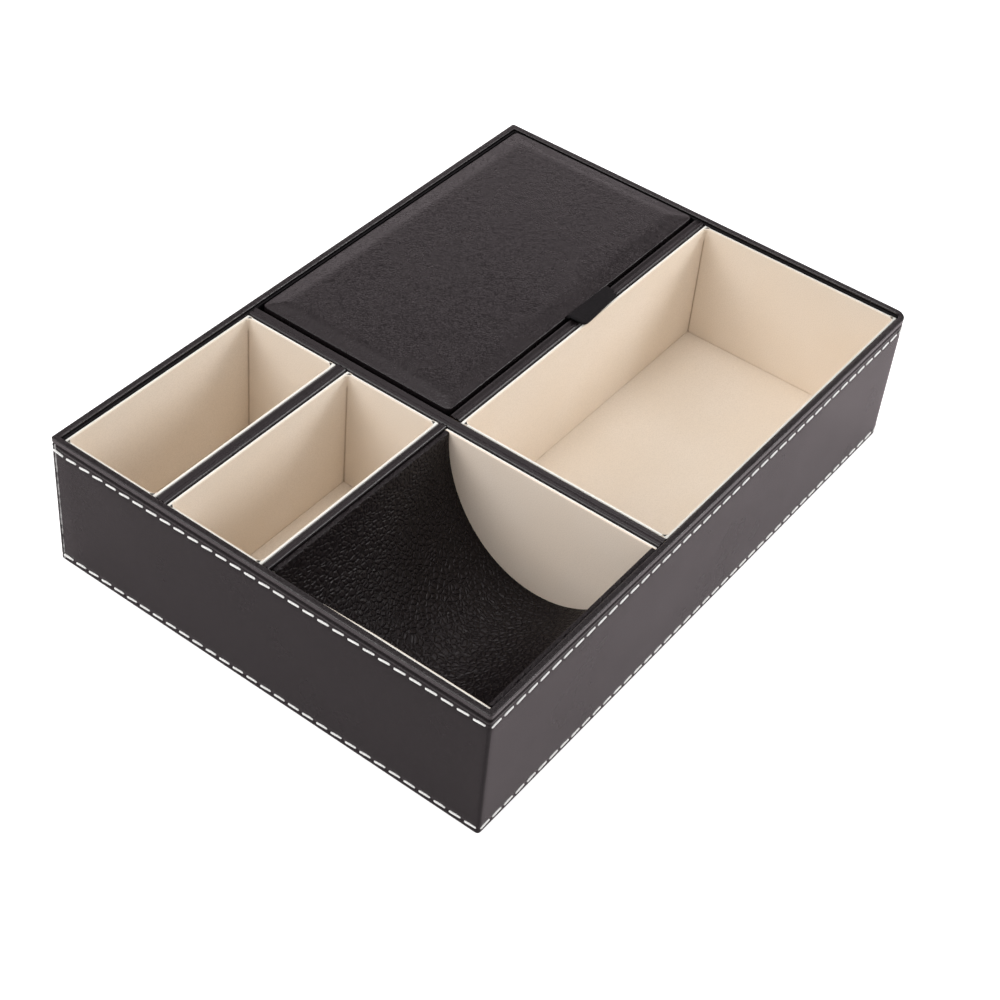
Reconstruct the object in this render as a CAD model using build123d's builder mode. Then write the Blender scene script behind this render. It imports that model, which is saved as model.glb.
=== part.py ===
from build123d import *
import os

# Nightstand organizer box: a leather-wrapped board tray with two slots, an open
# compartment, a coin scoop and a lidded compartment.
# Frame: origin at the centre of the underside, +X along the long side, +Y to the back,
# +Z up, millimetres. The lid hinges along the back wall.

os.makedirs("parts", exist_ok=True)

# Overall size over the leather
length = 265.0
width = 190.0
height = 60.0

# Plan radii of the four wrapped corners
front_right_radius = 5.0
front_left_radius = 2.0
back_radius = 1.0

# Boards, leather and cards
leather = 0.6
wall_board = 2.0
base_board = 2.4
base_cover = 0.8
base_cover_inset = 2.0
base_cover_radius = 3.0
lining_card = 1.2
floor_card = 1.0
card_edge_round = 0.3

# Rolled top edge of the side leather and the turned edges of all leather
roll_width = 1.6
roll_height = 1.1
roll_round = 0.7
band_round = 0.5
turn_under = 12.0
turn_in = 14.0
lining_recess = 0.7

# Dividers: thickness with their leather, and where they stand
cross_divider = 5.6
cross_divider_x = -33.3
tray_divider = 5.6
tray_divider_y = -1.15
scoop_divider = 4.0
scoop_divider_y = -0.35
slot_divider = 5.4
slot_divider_y = 46.5
cap_round = 1.3
cap_crease = 0.4

# Coin scoop: leather over a bent card
scoop_card = 1.2
scoop_leather = 0.6
scoop_floor_gap = 0.3
scoop_left_lining_slope = 42.0
scoop_left_lining_drop = 1.4

# Lid and its compartment
lid_gap = 1.0
lid_depth = 8.0
lid_board = 3.0
lid_lining_card = 0.6
lid_lining_inset = 1.0
lid_turn_in = 10.0
lid_crown = 0.8
lid_long_arch_lift = 0.5
lid_edge_round = 1.4
lid_corner_radius = 2.8
pad_clearance = 0.1
ledge_strip = 3.0
ledge_clearance = 0.3

# Leather strip hinge along the back edge of the lid
hinge_leaf = 0.5
hinge_fold_gap = 0.3
hinge_inset = 3.0
hinge_fold_drop = 0.6
hinge_leaf_depth = 18.0

# Pull tab on the front edge of the lid
tab_width = 26.0
tab_thickness = 0.7
tab_overhang = 1.8
tab_offset = 8.5
tab_root = 4.5
tab_clearance = 0.3
tab_corner_radius = 1.5

# Levels, from the underside up
leather_underside = base_cover
board_underside = leather_underside + leather
base_top = board_underside + base_board
floor_top = base_top + floor_card
band_top = height - roll_height
board_top = band_top - leather
lining_top = band_top - lining_recess
turn_in_bottom = board_top - turn_in

# Faces of the walls and dividers, leather included
wall = leather + wall_board + leather
inner_x = length / 2 - wall
inner_y = width / 2 - wall
cross_left = cross_divider_x - cross_divider / 2
cross_right = cross_divider_x + cross_divider / 2
tray_back = tray_divider_y - tray_divider / 2
bay_front = tray_divider_y + tray_divider / 2
scoop_back = scoop_divider_y - scoop_divider / 2
middle_front = scoop_divider_y + scoop_divider / 2
middle_back = slot_divider_y - slot_divider / 2
rear_front = slot_divider_y + slot_divider / 2

# Lid faces and hinge line
hinge_gap = 2 * hinge_leaf + hinge_fold_gap
lid_left = cross_right + lid_gap
lid_right = inner_x - lid_gap
lid_front = bay_front + lid_gap
lid_back = inner_y - hinge_gap
lid_middle_x = (lid_left + lid_right) / 2
lid_middle_y = (lid_front + lid_back) / 2
lid_length = lid_right - lid_left
lid_width = lid_back - lid_front
lid_bottom = height - lid_depth
lid_leather_bottom = lid_bottom + lid_lining_card
lid_board_bottom = lid_leather_bottom + leather
lid_board_top = lid_board_bottom + lid_board
ledge_top = lid_bottom - ledge_clearance
hinge_y = inner_y - hinge_gap / 2
hinge_z = band_top - hinge_fold_drop


def finish(name, part):
    """Label one piece and write its file."""
    part.label = name
    export_step(part, f"parts/{name}.step")


def plan(inset):
    """Outline of the tray, seen from above, drawn in from the outside by an inset."""
    half_length = length / 2 - inset
    half_width = width / 2 - inset
    corners = {
        (half_length, -half_width): front_right_radius,
        (-half_length, -half_width): front_left_radius,
        (half_length, half_width): back_radius,
        (-half_length, half_width): back_radius,
    }
    with BuildSketch() as outline:
        Rectangle(2 * half_length, 2 * half_width)
        for corner, radius in corners.items():
            if radius > inset:
                fillet(outline.vertices().sort_by_distance(corner)[0], radius - inset)
    return outline.sketch


outer_plan = plan(0)
roll_plan = plan(roll_width)
board_plan = plan(leather)
turn_under_plan = plan(turn_under)
with BuildSketch() as board_inner:
    Rectangle(2 * (inner_x + leather), 2 * (inner_y + leather))
with BuildSketch() as cavity:
    Rectangle(2 * inner_x, 2 * inner_y)


def slab(name, low, high, rounded=None):
    """A flat board or card between two corners, its chosen top edges eased."""
    size = [b - a for a, b in zip(low, high)]
    middle = [(a + b) / 2 for a, b in zip(low, high)]
    with BuildPart() as piece:
        with BuildSketch(Plane.XY.offset(low[2])):
            with Locations((middle[0], middle[1])):
                Rectangle(size[0], size[1])
        extrude(amount=size[2])
        if rounded:
            top_edges = piece.faces().sort_by(Axis.Z)[-1].edges()
            fillet(top_edges.filter_by(rounded), min(card_edge_round, min(size) / 3))
    finish(name, piece.part)


# Underside: black felted card over the turned-under leather
with BuildPart() as cover:
    with BuildSketch():
        Rectangle(length - 2 * base_cover_inset, width - 2 * base_cover_inset)
        fillet(vertices(), base_cover_radius)
    extrude(amount=base_cover)
finish("base_cover", cover.part)

# Base board, full size inside the leather
with BuildPart() as base:
    with BuildSketch(Plane.XY.offset(board_underside)):
        add(board_plan)
    extrude(amount=base_board)
finish("base_board", base.part)

# Wall boards: front and back run full length, the sides stand between them
board_face_x = length / 2 - leather
board_face_y = width / 2 - leather
side_strip = (wall_board, 2 * (board_face_y - wall_board))
long_strip = (2 * board_face_x, wall_board)
wall_strips = {
    "front_wall_board": ((0, wall_board / 2 - board_face_y), long_strip),
    "back_wall_board": ((0, board_face_y - wall_board / 2), long_strip),
    "left_wall_board": ((wall_board / 2 - board_face_x, 0), side_strip),
    "right_wall_board": ((board_face_x - wall_board / 2, 0), side_strip),
}
for name, (centre, strip) in wall_strips.items():
    with BuildPart() as wall_part:
        with BuildSketch(Plane.XY.offset(base_top)):
            add(board_plan)
            add(board_inner.sketch, mode=Mode.SUBTRACT)
            with Locations(centre):
                Rectangle(*strip, mode=Mode.INTERSECT)
        extrude(amount=board_top - base_top)
    finish(name, wall_part.part)

# Side leather: one skin round the outside, turned under the base and rolled at the top
with BuildPart() as side_leather:
    with BuildSketch(Plane.XY.offset(leather_underside)):
        add(outer_plan)
        add(turn_under_plan, mode=Mode.SUBTRACT)
    extrude(amount=leather)
    with BuildSketch(Plane.XY.offset(board_underside)):
        add(outer_plan)
        add(board_plan, mode=Mode.SUBTRACT)
    extrude(amount=band_top - board_underside)
    with BuildSketch(Plane.XY.offset(band_top)):
        add(outer_plan)
        add(roll_plan, mode=Mode.SUBTRACT)
    extrude(amount=roll_height)
    fillet(side_leather.faces().sort_by(Axis.Z)[-1].edges(), roll_round)
finish("side_leather", side_leather.part)

# Rim leather: over the top of the wall boards and down their inner faces
with BuildPart() as rim_leather:
    with BuildSketch(Plane.XY.offset(turn_in_bottom)):
        add(board_inner.sketch)
        add(cavity.sketch, mode=Mode.SUBTRACT)
    extrude(amount=board_top - turn_in_bottom)
    with BuildSketch(Plane.XY.offset(board_top)):
        add(board_plan)
        add(cavity.sketch, mode=Mode.SUBTRACT)
    extrude(amount=leather)
    band_face = rim_leather.faces().sort_by(Axis.Z)[-1]
    fillet(band_face.inner_wires()[0].edges(), band_round)
finish("rim_leather", rim_leather.part)


def divider(name, start, end, centre, thickness, across_x):
    """A divider board and the creased leather cap folded over its top edge.

    It runs from start to end: along Y where its thickness lies across X, otherwise along X.
    """
    run = end - start
    middle = (start + end) / 2
    spot = (centre, middle) if across_x else (middle, centre)
    core = thickness - 2 * leather
    plane = Plane.XZ.offset(-end) if across_x else Plane.YZ.offset(start)
    with BuildPart() as board:
        with BuildSketch(Plane.XY.offset(base_top)):
            with Locations(spot):
                Rectangle(*((core, run) if across_x else (run, core)))
        extrude(amount=board_top - base_top)
    finish(f"{name}_board", board.part)

    cap_bottom = board_top - turn_in
    with BuildPart() as cap:
        with BuildSketch(plane) as section:
            with Locations((centre, (cap_bottom + band_top) / 2)):
                Rectangle(thickness, band_top - cap_bottom)
            fillet(section.vertices().group_by(Axis.Y)[-1], cap_round)
            with Locations((centre, (cap_bottom + board_top) / 2)):
                Rectangle(core, board_top - cap_bottom, mode=Mode.SUBTRACT)
            with Locations((centre, band_top)):
                Circle(cap_crease, mode=Mode.SUBTRACT)
        extrude(amount=run)
    finish(f"{name}_leather", cap.part)


divider("cross_divider", -inner_y, inner_y, cross_divider_x, cross_divider, True)
divider("tray_divider", cross_right, inner_x, tray_divider_y, tray_divider, False)
divider("scoop_divider", -inner_x, cross_left, scoop_divider_y, scoop_divider, False)
divider("slot_divider", -inner_x, cross_left, slot_divider_y, slot_divider, False)


def line_compartment(name, west, east, south, north, card, top):
    """A floor card and four wall cards round one compartment."""
    slab(f"{name}_floor_lining", (west, south, base_top), (east, north, floor_top))
    slab(f"{name}_front_lining", (west, south, floor_top), (east, south + card, top), Axis.X)
    slab(f"{name}_back_lining", (west, north - card, floor_top), (east, north, top), Axis.X)
    slab(f"{name}_left_lining", (west, south + card, floor_top), (west + card, north - card, top), Axis.Y)
    slab(f"{name}_right_lining", (east - card, south + card, floor_top), (east, north - card, top), Axis.Y)


line_compartment("rear_slot", -inner_x, cross_left, rear_front, inner_y, lining_card, lining_top)
line_compartment("middle_slot", -inner_x, cross_left, middle_front, middle_back, lining_card, lining_top)
line_compartment("tray", cross_right, inner_x, -inner_y, tray_back, lining_card, lining_top)

# Lidded compartment: thicker lined strips that stop short as the ledge under the lid
bay_back = inner_y - hinge_leaf
line_compartment("bay", cross_right, inner_x, bay_front, bay_back, ledge_strip, ledge_top)

# Coin scoop: its card bends as half an ellipse, upright at the front wall and the divider
scoop_front = -inner_y
scoop_thickness = scoop_card + scoop_leather
scoop_middle_y = (scoop_front + scoop_back) / 2
scoop_reach = (scoop_back - scoop_front) / 2
scoop_depth = lining_top - base_top - scoop_floor_gap


def trough(lift):
    """Everything above the underside of the scoop's card, or above a face lifted over it.

    It is drawn flat, with its first axis towards the back and its second up.
    """
    with BuildSketch() as area:
        with Locations((scoop_middle_y, lining_top)):
            Ellipse(scoop_reach - lift, scoop_depth - lift)
            Rectangle(
                2 * scoop_reach,
                scoop_depth,
                align=(Align.CENTER, Align.MAX),
                mode=Mode.INTERSECT,
            )
    return area.sketch


scoop_left = -inner_x + lining_card
scoop_right = cross_left - lining_card
under_card = trough(0)
over_card = trough(scoop_card)
over_leather = trough(scoop_thickness)
card_top = lining_top - scoop_leather
card_middle_z = (base_top + card_top) / 2

with BuildPart() as scoop_card_part:
    with BuildSketch(Plane.YZ.offset(scoop_left)) as card_section:
        add(under_card)
        add(over_card, mode=Mode.SUBTRACT)
        with Locations((scoop_middle_y, card_middle_z)):
            Rectangle(scoop_back - scoop_front, card_top - base_top, mode=Mode.INTERSECT)
    extrude(amount=scoop_right - scoop_left)
finish("scoop_card", scoop_card_part.part)

with BuildPart() as scoop_leather_part:
    with BuildSketch(Plane.YZ.offset(scoop_left)):
        add(under_card)
        add(over_leather, mode=Mode.SUBTRACT)
        add(card_section.sketch_local, mode=Mode.SUBTRACT)
    extrude(amount=scoop_right - scoop_left)
finish("scoop_leather", scoop_leather_part.part)

slab(
    "scoop_right_lining",
    (scoop_right, scoop_front, base_top),
    (cross_left, scoop_back, lining_top),
    Axis.Y,
)

# The left one's top edge sinks towards the divider, down behind the rim's band
scoop_slope_front = scoop_back - scoop_left_lining_slope
with BuildPart() as scoop_left_lining_part:
    with BuildSketch(Plane.YZ.offset(-inner_x)):
        with BuildLine():
            Polyline(
                (scoop_front, base_top),
                (scoop_front, lining_top),
                (scoop_slope_front, lining_top),
                (scoop_back, lining_top - scoop_left_lining_drop),
                (scoop_back, base_top),
                close=True,
            )
        make_face()
    extrude(amount=lining_card)
    sloped_tops = scoop_left_lining_part.faces().sort_by(Axis.Z)[-2:]
    fillet(
        [edge for edge in sloped_tops.edges() if abs(edge.tangent_at(0.5).X) < 0.5],
        min(card_edge_round, lining_card / 3),
    )
finish("scoop_left_lining", scoop_left_lining_part.part)

# Lid board, inside the cover's rounded corners
with BuildPart() as lid_board_part:
    with BuildSketch(Plane.XY.offset(lid_board_bottom)):
        with Locations((lid_middle_x, lid_middle_y)):
            Rectangle(lid_length - 2 * leather, lid_width - 2 * leather)
        fillet(vertices(), lid_corner_radius - leather)
    extrude(amount=lid_board)
finish("lid_board", lid_board_part.part)

# Suede card that closes the underside of the lid
slab(
    "lid_lining",
    (lid_left + lid_lining_inset, lid_front + lid_lining_inset, lid_bottom),
    (lid_right - lid_lining_inset, lid_back - lid_lining_inset, lid_leather_bottom),
)


def lid_form(inset, bottom):
    """The crowned, soft-edged form of the lid, drawn in on all sides but its underside.

    Two arched sections cross inside its rounded plan. The one along the lid stands a little
    higher, so the one across it forms the middle and the long one only lowers the ends.
    """
    top = height - inset
    lowest = top - lid_crown
    sections = (
        (Plane.XZ.offset(-lid_middle_y), lid_middle_x, lid_length, top + lid_long_arch_lift, Mode.ADD),
        (Plane.YZ.offset(lid_middle_x), lid_middle_y, lid_width, top, Mode.INTERSECT),
    )
    with BuildPart() as form:
        for plane, middle, span, apex, mode in sections:
            start = middle - span / 2 + inset
            end = middle + span / 2 - inset
            with BuildSketch(plane) as section:
                with BuildLine():
                    ThreePointArc((start, lowest), (middle, apex), (end, lowest))
                    Polyline((end, lowest), (end, bottom), (start, bottom), (start, lowest))
                make_face()
                shoulders = section.vertices().sort_by(Axis.Y)[-2:]
                fillet(shoulders, lid_edge_round - inset)
            extrude(amount=lid_length / 2, both=True, mode=mode)
        with BuildSketch(Plane.XY.offset(bottom)):
            with Locations((lid_middle_x, lid_middle_y)):
                Rectangle(lid_length - 2 * inset, lid_width - 2 * inset)
            fillet(vertices(), lid_corner_radius - inset)
        extrude(amount=top - bottom, mode=Mode.INTERSECT)
    return form.part


# Padding: thin foam that gives the lid its crown
pad_inset = leather + pad_clearance
lid_pad = lid_form(pad_inset, lid_board_top)
finish("lid_pad", lid_pad)

# Lid cover: leather drawn over the pad and turned in under the board
cover_outside = lid_form(0, lid_leather_bottom)
cover_inside = lid_form(leather, lid_board_bottom)
with BuildPart() as lid_cover:
    add(cover_outside)
    add(cover_inside, mode=Mode.SUBTRACT)
    with BuildSketch(Plane.XY.offset(lid_leather_bottom)):
        with Locations((lid_middle_x, lid_middle_y)):
            Rectangle(lid_length - 2 * lid_turn_in, lid_width - 2 * lid_turn_in)
    extrude(amount=leather, mode=Mode.SUBTRACT)
finish("lid_cover", lid_cover.part)

# Pull tab: glued to the lid's front face and folded over the top of the divider
tab_top = band_top + tab_clearance + tab_thickness
tab_root_z = band_top - tab_root
tab_tip_y = tray_back - tab_overhang
with BuildPart() as lid_tab:
    with BuildSketch(Plane.YZ.offset(lid_middle_x + tab_offset - tab_width / 2)) as tab_section:
        with Locations(((tab_tip_y + lid_front) / 2, tab_top - tab_thickness / 2)):
            Rectangle(lid_front - tab_tip_y, tab_thickness)
        with Locations((lid_front - tab_thickness / 2, (tab_root_z + tab_top) / 2)):
            Rectangle(tab_thickness, tab_top - tab_root_z)
        fillet(tab_section.vertices().sort_by_distance((lid_front, tab_top))[0], tab_thickness)
    extrude(amount=tab_width)
    tip_edges = lid_tab.faces().sort_by(Axis.Y)[0].edges().filter_by(Axis.Z)
    fillet(tip_edges, tab_corner_radius)
finish("lid_tab", lid_tab.part)

# Leather strip hinge: two leaves hang side by side in the gap below their fold
slab(
    "hinge_wall_leaf",
    (lid_left + hinge_inset, inner_y - hinge_leaf, hinge_z - hinge_leaf_depth),
    (lid_right - hinge_inset, inner_y, hinge_z),
)
slab(
    "hinge_lid_leaf",
    (lid_left + hinge_inset, lid_back, lid_leather_bottom),
    (lid_right - hinge_inset, lid_back + hinge_leaf, hinge_z),
)
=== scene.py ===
"""Looks of the nightstand organizer box: a leather-wrapped valet tray with a padded, hinged lid.

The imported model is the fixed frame. Every piece is in metres, in that frame: +X along the long
side, +Y to the back where the lid is hinged, +Z up. Small sizes are written in millimetres.
"""
import logging
import math
from dataclasses import dataclass
from enum import Enum
from typing import Callable, Optional, Sequence, Union

import bpy
import bmesh
from mathutils import Matrix, Vector, noise


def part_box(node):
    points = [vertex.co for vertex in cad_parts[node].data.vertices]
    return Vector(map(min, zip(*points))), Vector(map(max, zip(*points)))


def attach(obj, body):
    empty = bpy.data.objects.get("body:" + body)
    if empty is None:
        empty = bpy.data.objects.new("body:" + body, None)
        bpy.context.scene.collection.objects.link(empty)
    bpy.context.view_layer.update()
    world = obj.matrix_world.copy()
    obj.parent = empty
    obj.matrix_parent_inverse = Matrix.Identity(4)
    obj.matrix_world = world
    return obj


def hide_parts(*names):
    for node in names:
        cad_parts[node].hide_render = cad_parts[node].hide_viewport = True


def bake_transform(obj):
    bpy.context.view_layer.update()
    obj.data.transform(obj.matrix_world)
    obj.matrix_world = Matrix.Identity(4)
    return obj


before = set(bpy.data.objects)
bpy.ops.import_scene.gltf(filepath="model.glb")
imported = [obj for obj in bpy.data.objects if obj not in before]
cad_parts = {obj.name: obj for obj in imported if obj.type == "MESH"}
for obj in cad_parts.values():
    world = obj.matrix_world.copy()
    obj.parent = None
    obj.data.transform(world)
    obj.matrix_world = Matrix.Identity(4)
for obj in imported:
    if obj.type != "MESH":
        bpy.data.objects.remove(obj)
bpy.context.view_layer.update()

LOG = logging.getLogger("organizer")
MM = 0.001
MICRON = 0.001 * MM
X, Y, Z = range(3)

Triple = tuple[float, float, float]
Colour = Triple
Loop = list[Vector]
Edge = tuple[int, int]
Face = tuple[int, ...]
Socket = bpy.types.NodeSocket
Feed = Union[float, tuple, Socket]


class Body(Enum):
    """The bodies that a piece can ride on."""

    TRAY = "tray"
    LID = "lid"


class Slot(Enum):
    """The record's material slots for the scene's own pieces."""

    LEATHER = "leather"
    SCOOP = "scoop_leather"
    SUEDE = "suede"
    THREAD = "thread"


# Node trees


class Graph:
    """A node tree being built: adds nodes, sets their inputs and links their sockets."""

    def __init__(self, tree: bpy.types.NodeTree) -> None:
        """Work on one material, world, group or geometry tree."""
        self.tree = tree

    def feed(self, node: bpy.types.Node, inputs: dict) -> None:
        """Set a node's inputs, or link them.

        Args:
            node: The node.
            inputs: Values or output sockets, by the input's name or number.
        """
        for key, value in inputs.items():
            if isinstance(value, Socket):
                self.tree.links.new(value, node.inputs[key])
            else:
                node.inputs[key].default_value = value

    def add(self, kind: str, inputs: Optional[dict] = None, **settings: object) -> bpy.types.Node:
        """Add a node.

        Args:
            kind: The node's type name.
            inputs: Values or output sockets, by the input's name or number.
            **settings: Attributes of the node, set before its inputs.

        Returns:
            The new node.
        """
        node = self.tree.nodes.new(kind)
        for key, value in settings.items():
            setattr(node, key, value)
        self.feed(node, inputs or {})
        return node

    def math(self, operation: str, *values: Feed) -> Socket:
        """Add a Math node and return its value."""
        return self.add("ShaderNodeMath", dict(enumerate(values)), operation=operation).outputs[0]

    def vector(self, operation: str, *values: Feed) -> Socket:
        """Add a Vector Math node and return its vector."""
        return self.add("ShaderNodeVectorMath", dict(enumerate(values)), operation=operation).outputs[0]

    def ramp(self, value: Feed, low: float, high: float, start: Feed = 0.0, end: Feed = 1.0) -> Socket:
        """Carry a value smoothly from one range to another.

        Args:
            value: The value or socket to carry over.
            low: The value that gives start.
            high: The value that gives end.
            start: The result at low.
            end: The result at high.

        Returns:
            The carried value.
        """
        inputs = {"Value": value, "From Min": low, "From Max": high, "To Min": start, "To Max": end}
        return self.add("ShaderNodeMapRange", inputs, interpolation_type="SMOOTHSTEP").outputs["Result"]

    def mix(self, factor: Feed, first: Feed, second: Feed) -> Socket:
        """Blend two colours: a factor of 0 gives the first and 1 the second."""
        # The node's colours are its inputs 6 and 7 and its output 2.
        inputs = {0: factor, 6: rgba(first), 7: rgba(second)}
        return self.add("ShaderNodeMix", inputs, data_type="RGBA").outputs[2]

    def noise(self, place: Feed, scale: Feed, detail: float, roughness: float = 0.5) -> Socket:
        """Add a Noise Texture and return its value."""
        inputs = {"Vector": place, "Scale": scale, "Detail": detail, "Roughness": roughness}
        return self.add("ShaderNodeTexNoise", inputs).outputs["Fac"]

    def attribute(self, name: str) -> Socket:
        """Read a value that is painted on the mesh."""
        return self.add("ShaderNodeAttribute", attribute_name=name).outputs["Fac"]

    def bump(self, height: Feed, depth_mm: float, strength: float = 1.0) -> Socket:
        """Turn a height into a normal, where a height of 1 stands for that depth."""
        inputs = {"Height": height, "Distance": depth_mm * MM, "Strength": strength}
        return self.add("ShaderNodeBump", inputs).outputs["Normal"]

    def finish_geometry(self, shape: Socket, material: Socket) -> None:
        """End a geometry tree with real, smooth-shaded geometry in one material.

        Args:
            shape: The geometry.
            material: Its material.
        """
        real = self.add("GeometryNodeRealizeInstances", {"Geometry": shape})
        smooth = self.add("GeometryNodeSetShadeSmooth", {"Geometry": real.outputs[0]})
        dyed = self.add("GeometryNodeSetMaterial", {"Geometry": smooth.outputs[0], "Material": material})
        self.add("NodeGroupOutput", {0: dyed.outputs[0]})


def rgba(colour: Feed) -> Feed:
    """A colour with an alpha of 1, or the socket as it is."""
    return (*colour, 1.0) if isinstance(colour, tuple) and len(colour) == 3 else colour


def shaded(colour: Colour, share: float) -> Colour:
    """A colour with each channel multiplied by a share."""
    return tuple(channel * share for channel in colour)


def group_tree(name: str, kind: str, inputs: dict[str, tuple], outputs: dict[str, str]) -> bpy.types.NodeTree:
    """Make an empty node group with named sockets.

    Args:
        name: The group's name.
        kind: The tree's type name.
        inputs: Socket type and default value (or None) by name.
        outputs: Socket type by name.

    Returns:
        The group, with no nodes in it yet.
    """
    tree = bpy.data.node_groups.new(name, kind)
    for label, (socket, default) in inputs.items():
        item = tree.interface.new_socket(name=label, in_out="INPUT", socket_type=socket)
        if default is not None:
            item.default_value = default
    for label, socket in outputs.items():
        tree.interface.new_socket(name=label, in_out="OUTPUT", socket_type=socket)
    return tree


def grain_group() -> bpy.types.NodeTree:
    """Pebbled leather grain, shared by every leather finish.

    Returns:
        A group that turns coordinates and a cell size into Height, Crease and Mottle.
    """
    inputs = {
        "Vector": ("NodeSocketVector", None),
        "Cells per Metre": ("NodeSocketFloat", 1000.0),
        "Wrinkle": ("NodeSocketFloat", 0.3),
    }
    outputs = {name: "NodeSocketFloat" for name in ("Height", "Crease", "Mottle")}
    tree = group_tree("leather_grain", "ShaderNodeTree", inputs, outputs)
    graph = Graph(tree)
    given = graph.add("NodeGroupInput").outputs
    place, cells = given["Vector"], given["Cells per Metre"]
    # Coarse noise shifts the cells, so that no row of pebbles runs straight.
    warp_inputs = {"Vector": place, "Scale": graph.math("MULTIPLY", cells, 0.35), "Detail": 2.0}
    warp = graph.add("ShaderNodeTexNoise", warp_inputs).outputs["Color"]
    shift = graph.vector("SUBTRACT", warp, (0.5, 0.5, 0.5))
    reach = graph.math("DIVIDE", 1.2, cells)
    moved = graph.add("ShaderNodeVectorMath", {0: shift, 3: reach}, operation="SCALE").outputs[0]
    cell_inputs = {"Vector": graph.vector("ADD", place, moved), "Scale": cells}
    edge = graph.add("ShaderNodeTexVoronoi", cell_inputs, feature="DISTANCE_TO_EDGE").outputs["Distance"]
    # Longer folds lie over the pebbles.
    wrinkles = graph.noise(place, graph.math("MULTIPLY", cells, 0.45), 3.0)
    folds = graph.math("MULTIPLY", graph.ramp(wrinkles, 0.35, 0.62), given["Wrinkle"])
    results = {
        "Height": graph.math("ADD", graph.ramp(edge, 0.0, 0.28), folds),
        "Crease": graph.ramp(edge, 0.0, 0.14, 1.0, 0.0),
        "Mottle": graph.noise(place, 38.0, 4.0, 0.6),
    }
    graph.add("NodeGroupOutput", results)
    return tree


def wear_and_highlight_group() -> bpy.types.NodeTree:
    """Broken-up wear and painted highlight from a painted mask, shared by every leather finish.

    Returns:
        A group that turns a mask and coordinates into a mask of wear and painted highlight.
    """
    inputs = {
        "Vector": ("NodeSocketVector", None),
        "Mask": ("NodeSocketFloat", 0.0),
        "Patches per Metre": ("NodeSocketFloat", 400.0),
    }
    tree = group_tree("wear_and_highlight_edge", "ShaderNodeTree", inputs, {"WearAndHighlight": "NodeSocketFloat"})
    graph = Graph(tree)
    given = graph.add("NodeGroupInput").outputs
    patches = graph.noise(given["Vector"], given["Patches per Metre"], 4.0)
    lifted = graph.math("ADD", given["Mask"], graph.math("MULTIPLY", patches, 0.9))
    graph.add("NodeGroupOutput", {"WearAndHighlight": graph.ramp(lifted, 0.85, 1.25)})
    return tree


GRAIN = grain_group()
WEAR_AND_HIGHLIGHT = wear_and_highlight_group()


# Finishes


class Finish:
    """What every finish shares: a new material with one Principled BSDF and Object coordinates."""

    name: str

    def start(self) -> tuple[bpy.types.Material, Graph, bpy.types.Node, Socket]:
        """Make the material.

        Returns:
            The material, its graph, its BSDF and the Object coordinates.
        """
        material = bpy.data.materials.new(self.name)
        material.use_nodes = True
        graph = Graph(material.node_tree)
        shader = material.node_tree.nodes["Principled BSDF"]
        return material, graph, shader, graph.add("ShaderNodeTexCoord").outputs["Object"]


@dataclass(frozen=True)
class LeatherFinish(Finish):
    """Faux leather: pebbled grain with soft creases, mottled gloss, edge wear and a painted highlight in one
    mask.
    """

    name: str
    colour: Colour
    depth_mm: float
    roughness: float
    cell_mm: float = 0.7
    wrinkle: float = 0.3
    crease_shade: float = 0.55
    mottle_shade: float = 1.1
    specular: float = 0.5
    taut_specular: float = 0.0
    # Grey for edge wear, and for the painted highlight that shares its mask.
    wear_and_highlight_colour: Colour = (0.42, 0.41, 0.41)

    def build(self) -> bpy.types.Material:
        """Make the material.

        Returns:
            A material that reads Object coordinates and the mesh's "wear_and_highlight" and "taut"
            attributes.
        """
        material, graph, shader, place = self.start()
        grain_inputs = {"Vector": place, "Cells per Metre": 1000.0 / self.cell_mm, "Wrinkle": self.wrinkle}
        grain = graph.add("ShaderNodeGroup", grain_inputs, node_tree=GRAIN).outputs
        wear_and_highlight_inputs = {"Vector": place, "Mask": graph.attribute("wear_and_highlight")}
        wear_and_highlight = graph.add("ShaderNodeGroup", wear_and_highlight_inputs, node_tree=WEAR_AND_HIGHLIGHT).outputs["WearAndHighlight"]
        light, deep = shaded(self.colour, self.mottle_shade), shaded(self.colour, self.crease_shade)
        mottled = graph.mix(graph.ramp(grain["Mottle"], 0.35, 0.65), self.colour, light)
        creased = graph.mix(grain["Crease"], mottled, deep)
        low, high = self.roughness - 0.02, self.roughness + 0.03
        looks = {
            # This grey is partly wear and partly a painted highlight.
            "Base Color": graph.mix(wear_and_highlight, creased, self.wear_and_highlight_colour),
            "Roughness": graph.ramp(grain["Mottle"], 0.3, 0.7, low, high),
            "Normal": graph.bump(grain["Height"], self.depth_mm),
            "Specular IOR Level": self.specular,
        }
        graph.feed(shader, looks)
        if self.taut_specular:
            gloss = graph.ramp(graph.attribute("taut"), 0.0, 1.0, self.specular, self.taut_specular)
            graph.feed(shader, {"Specular IOR Level": gloss})
        return material


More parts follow.
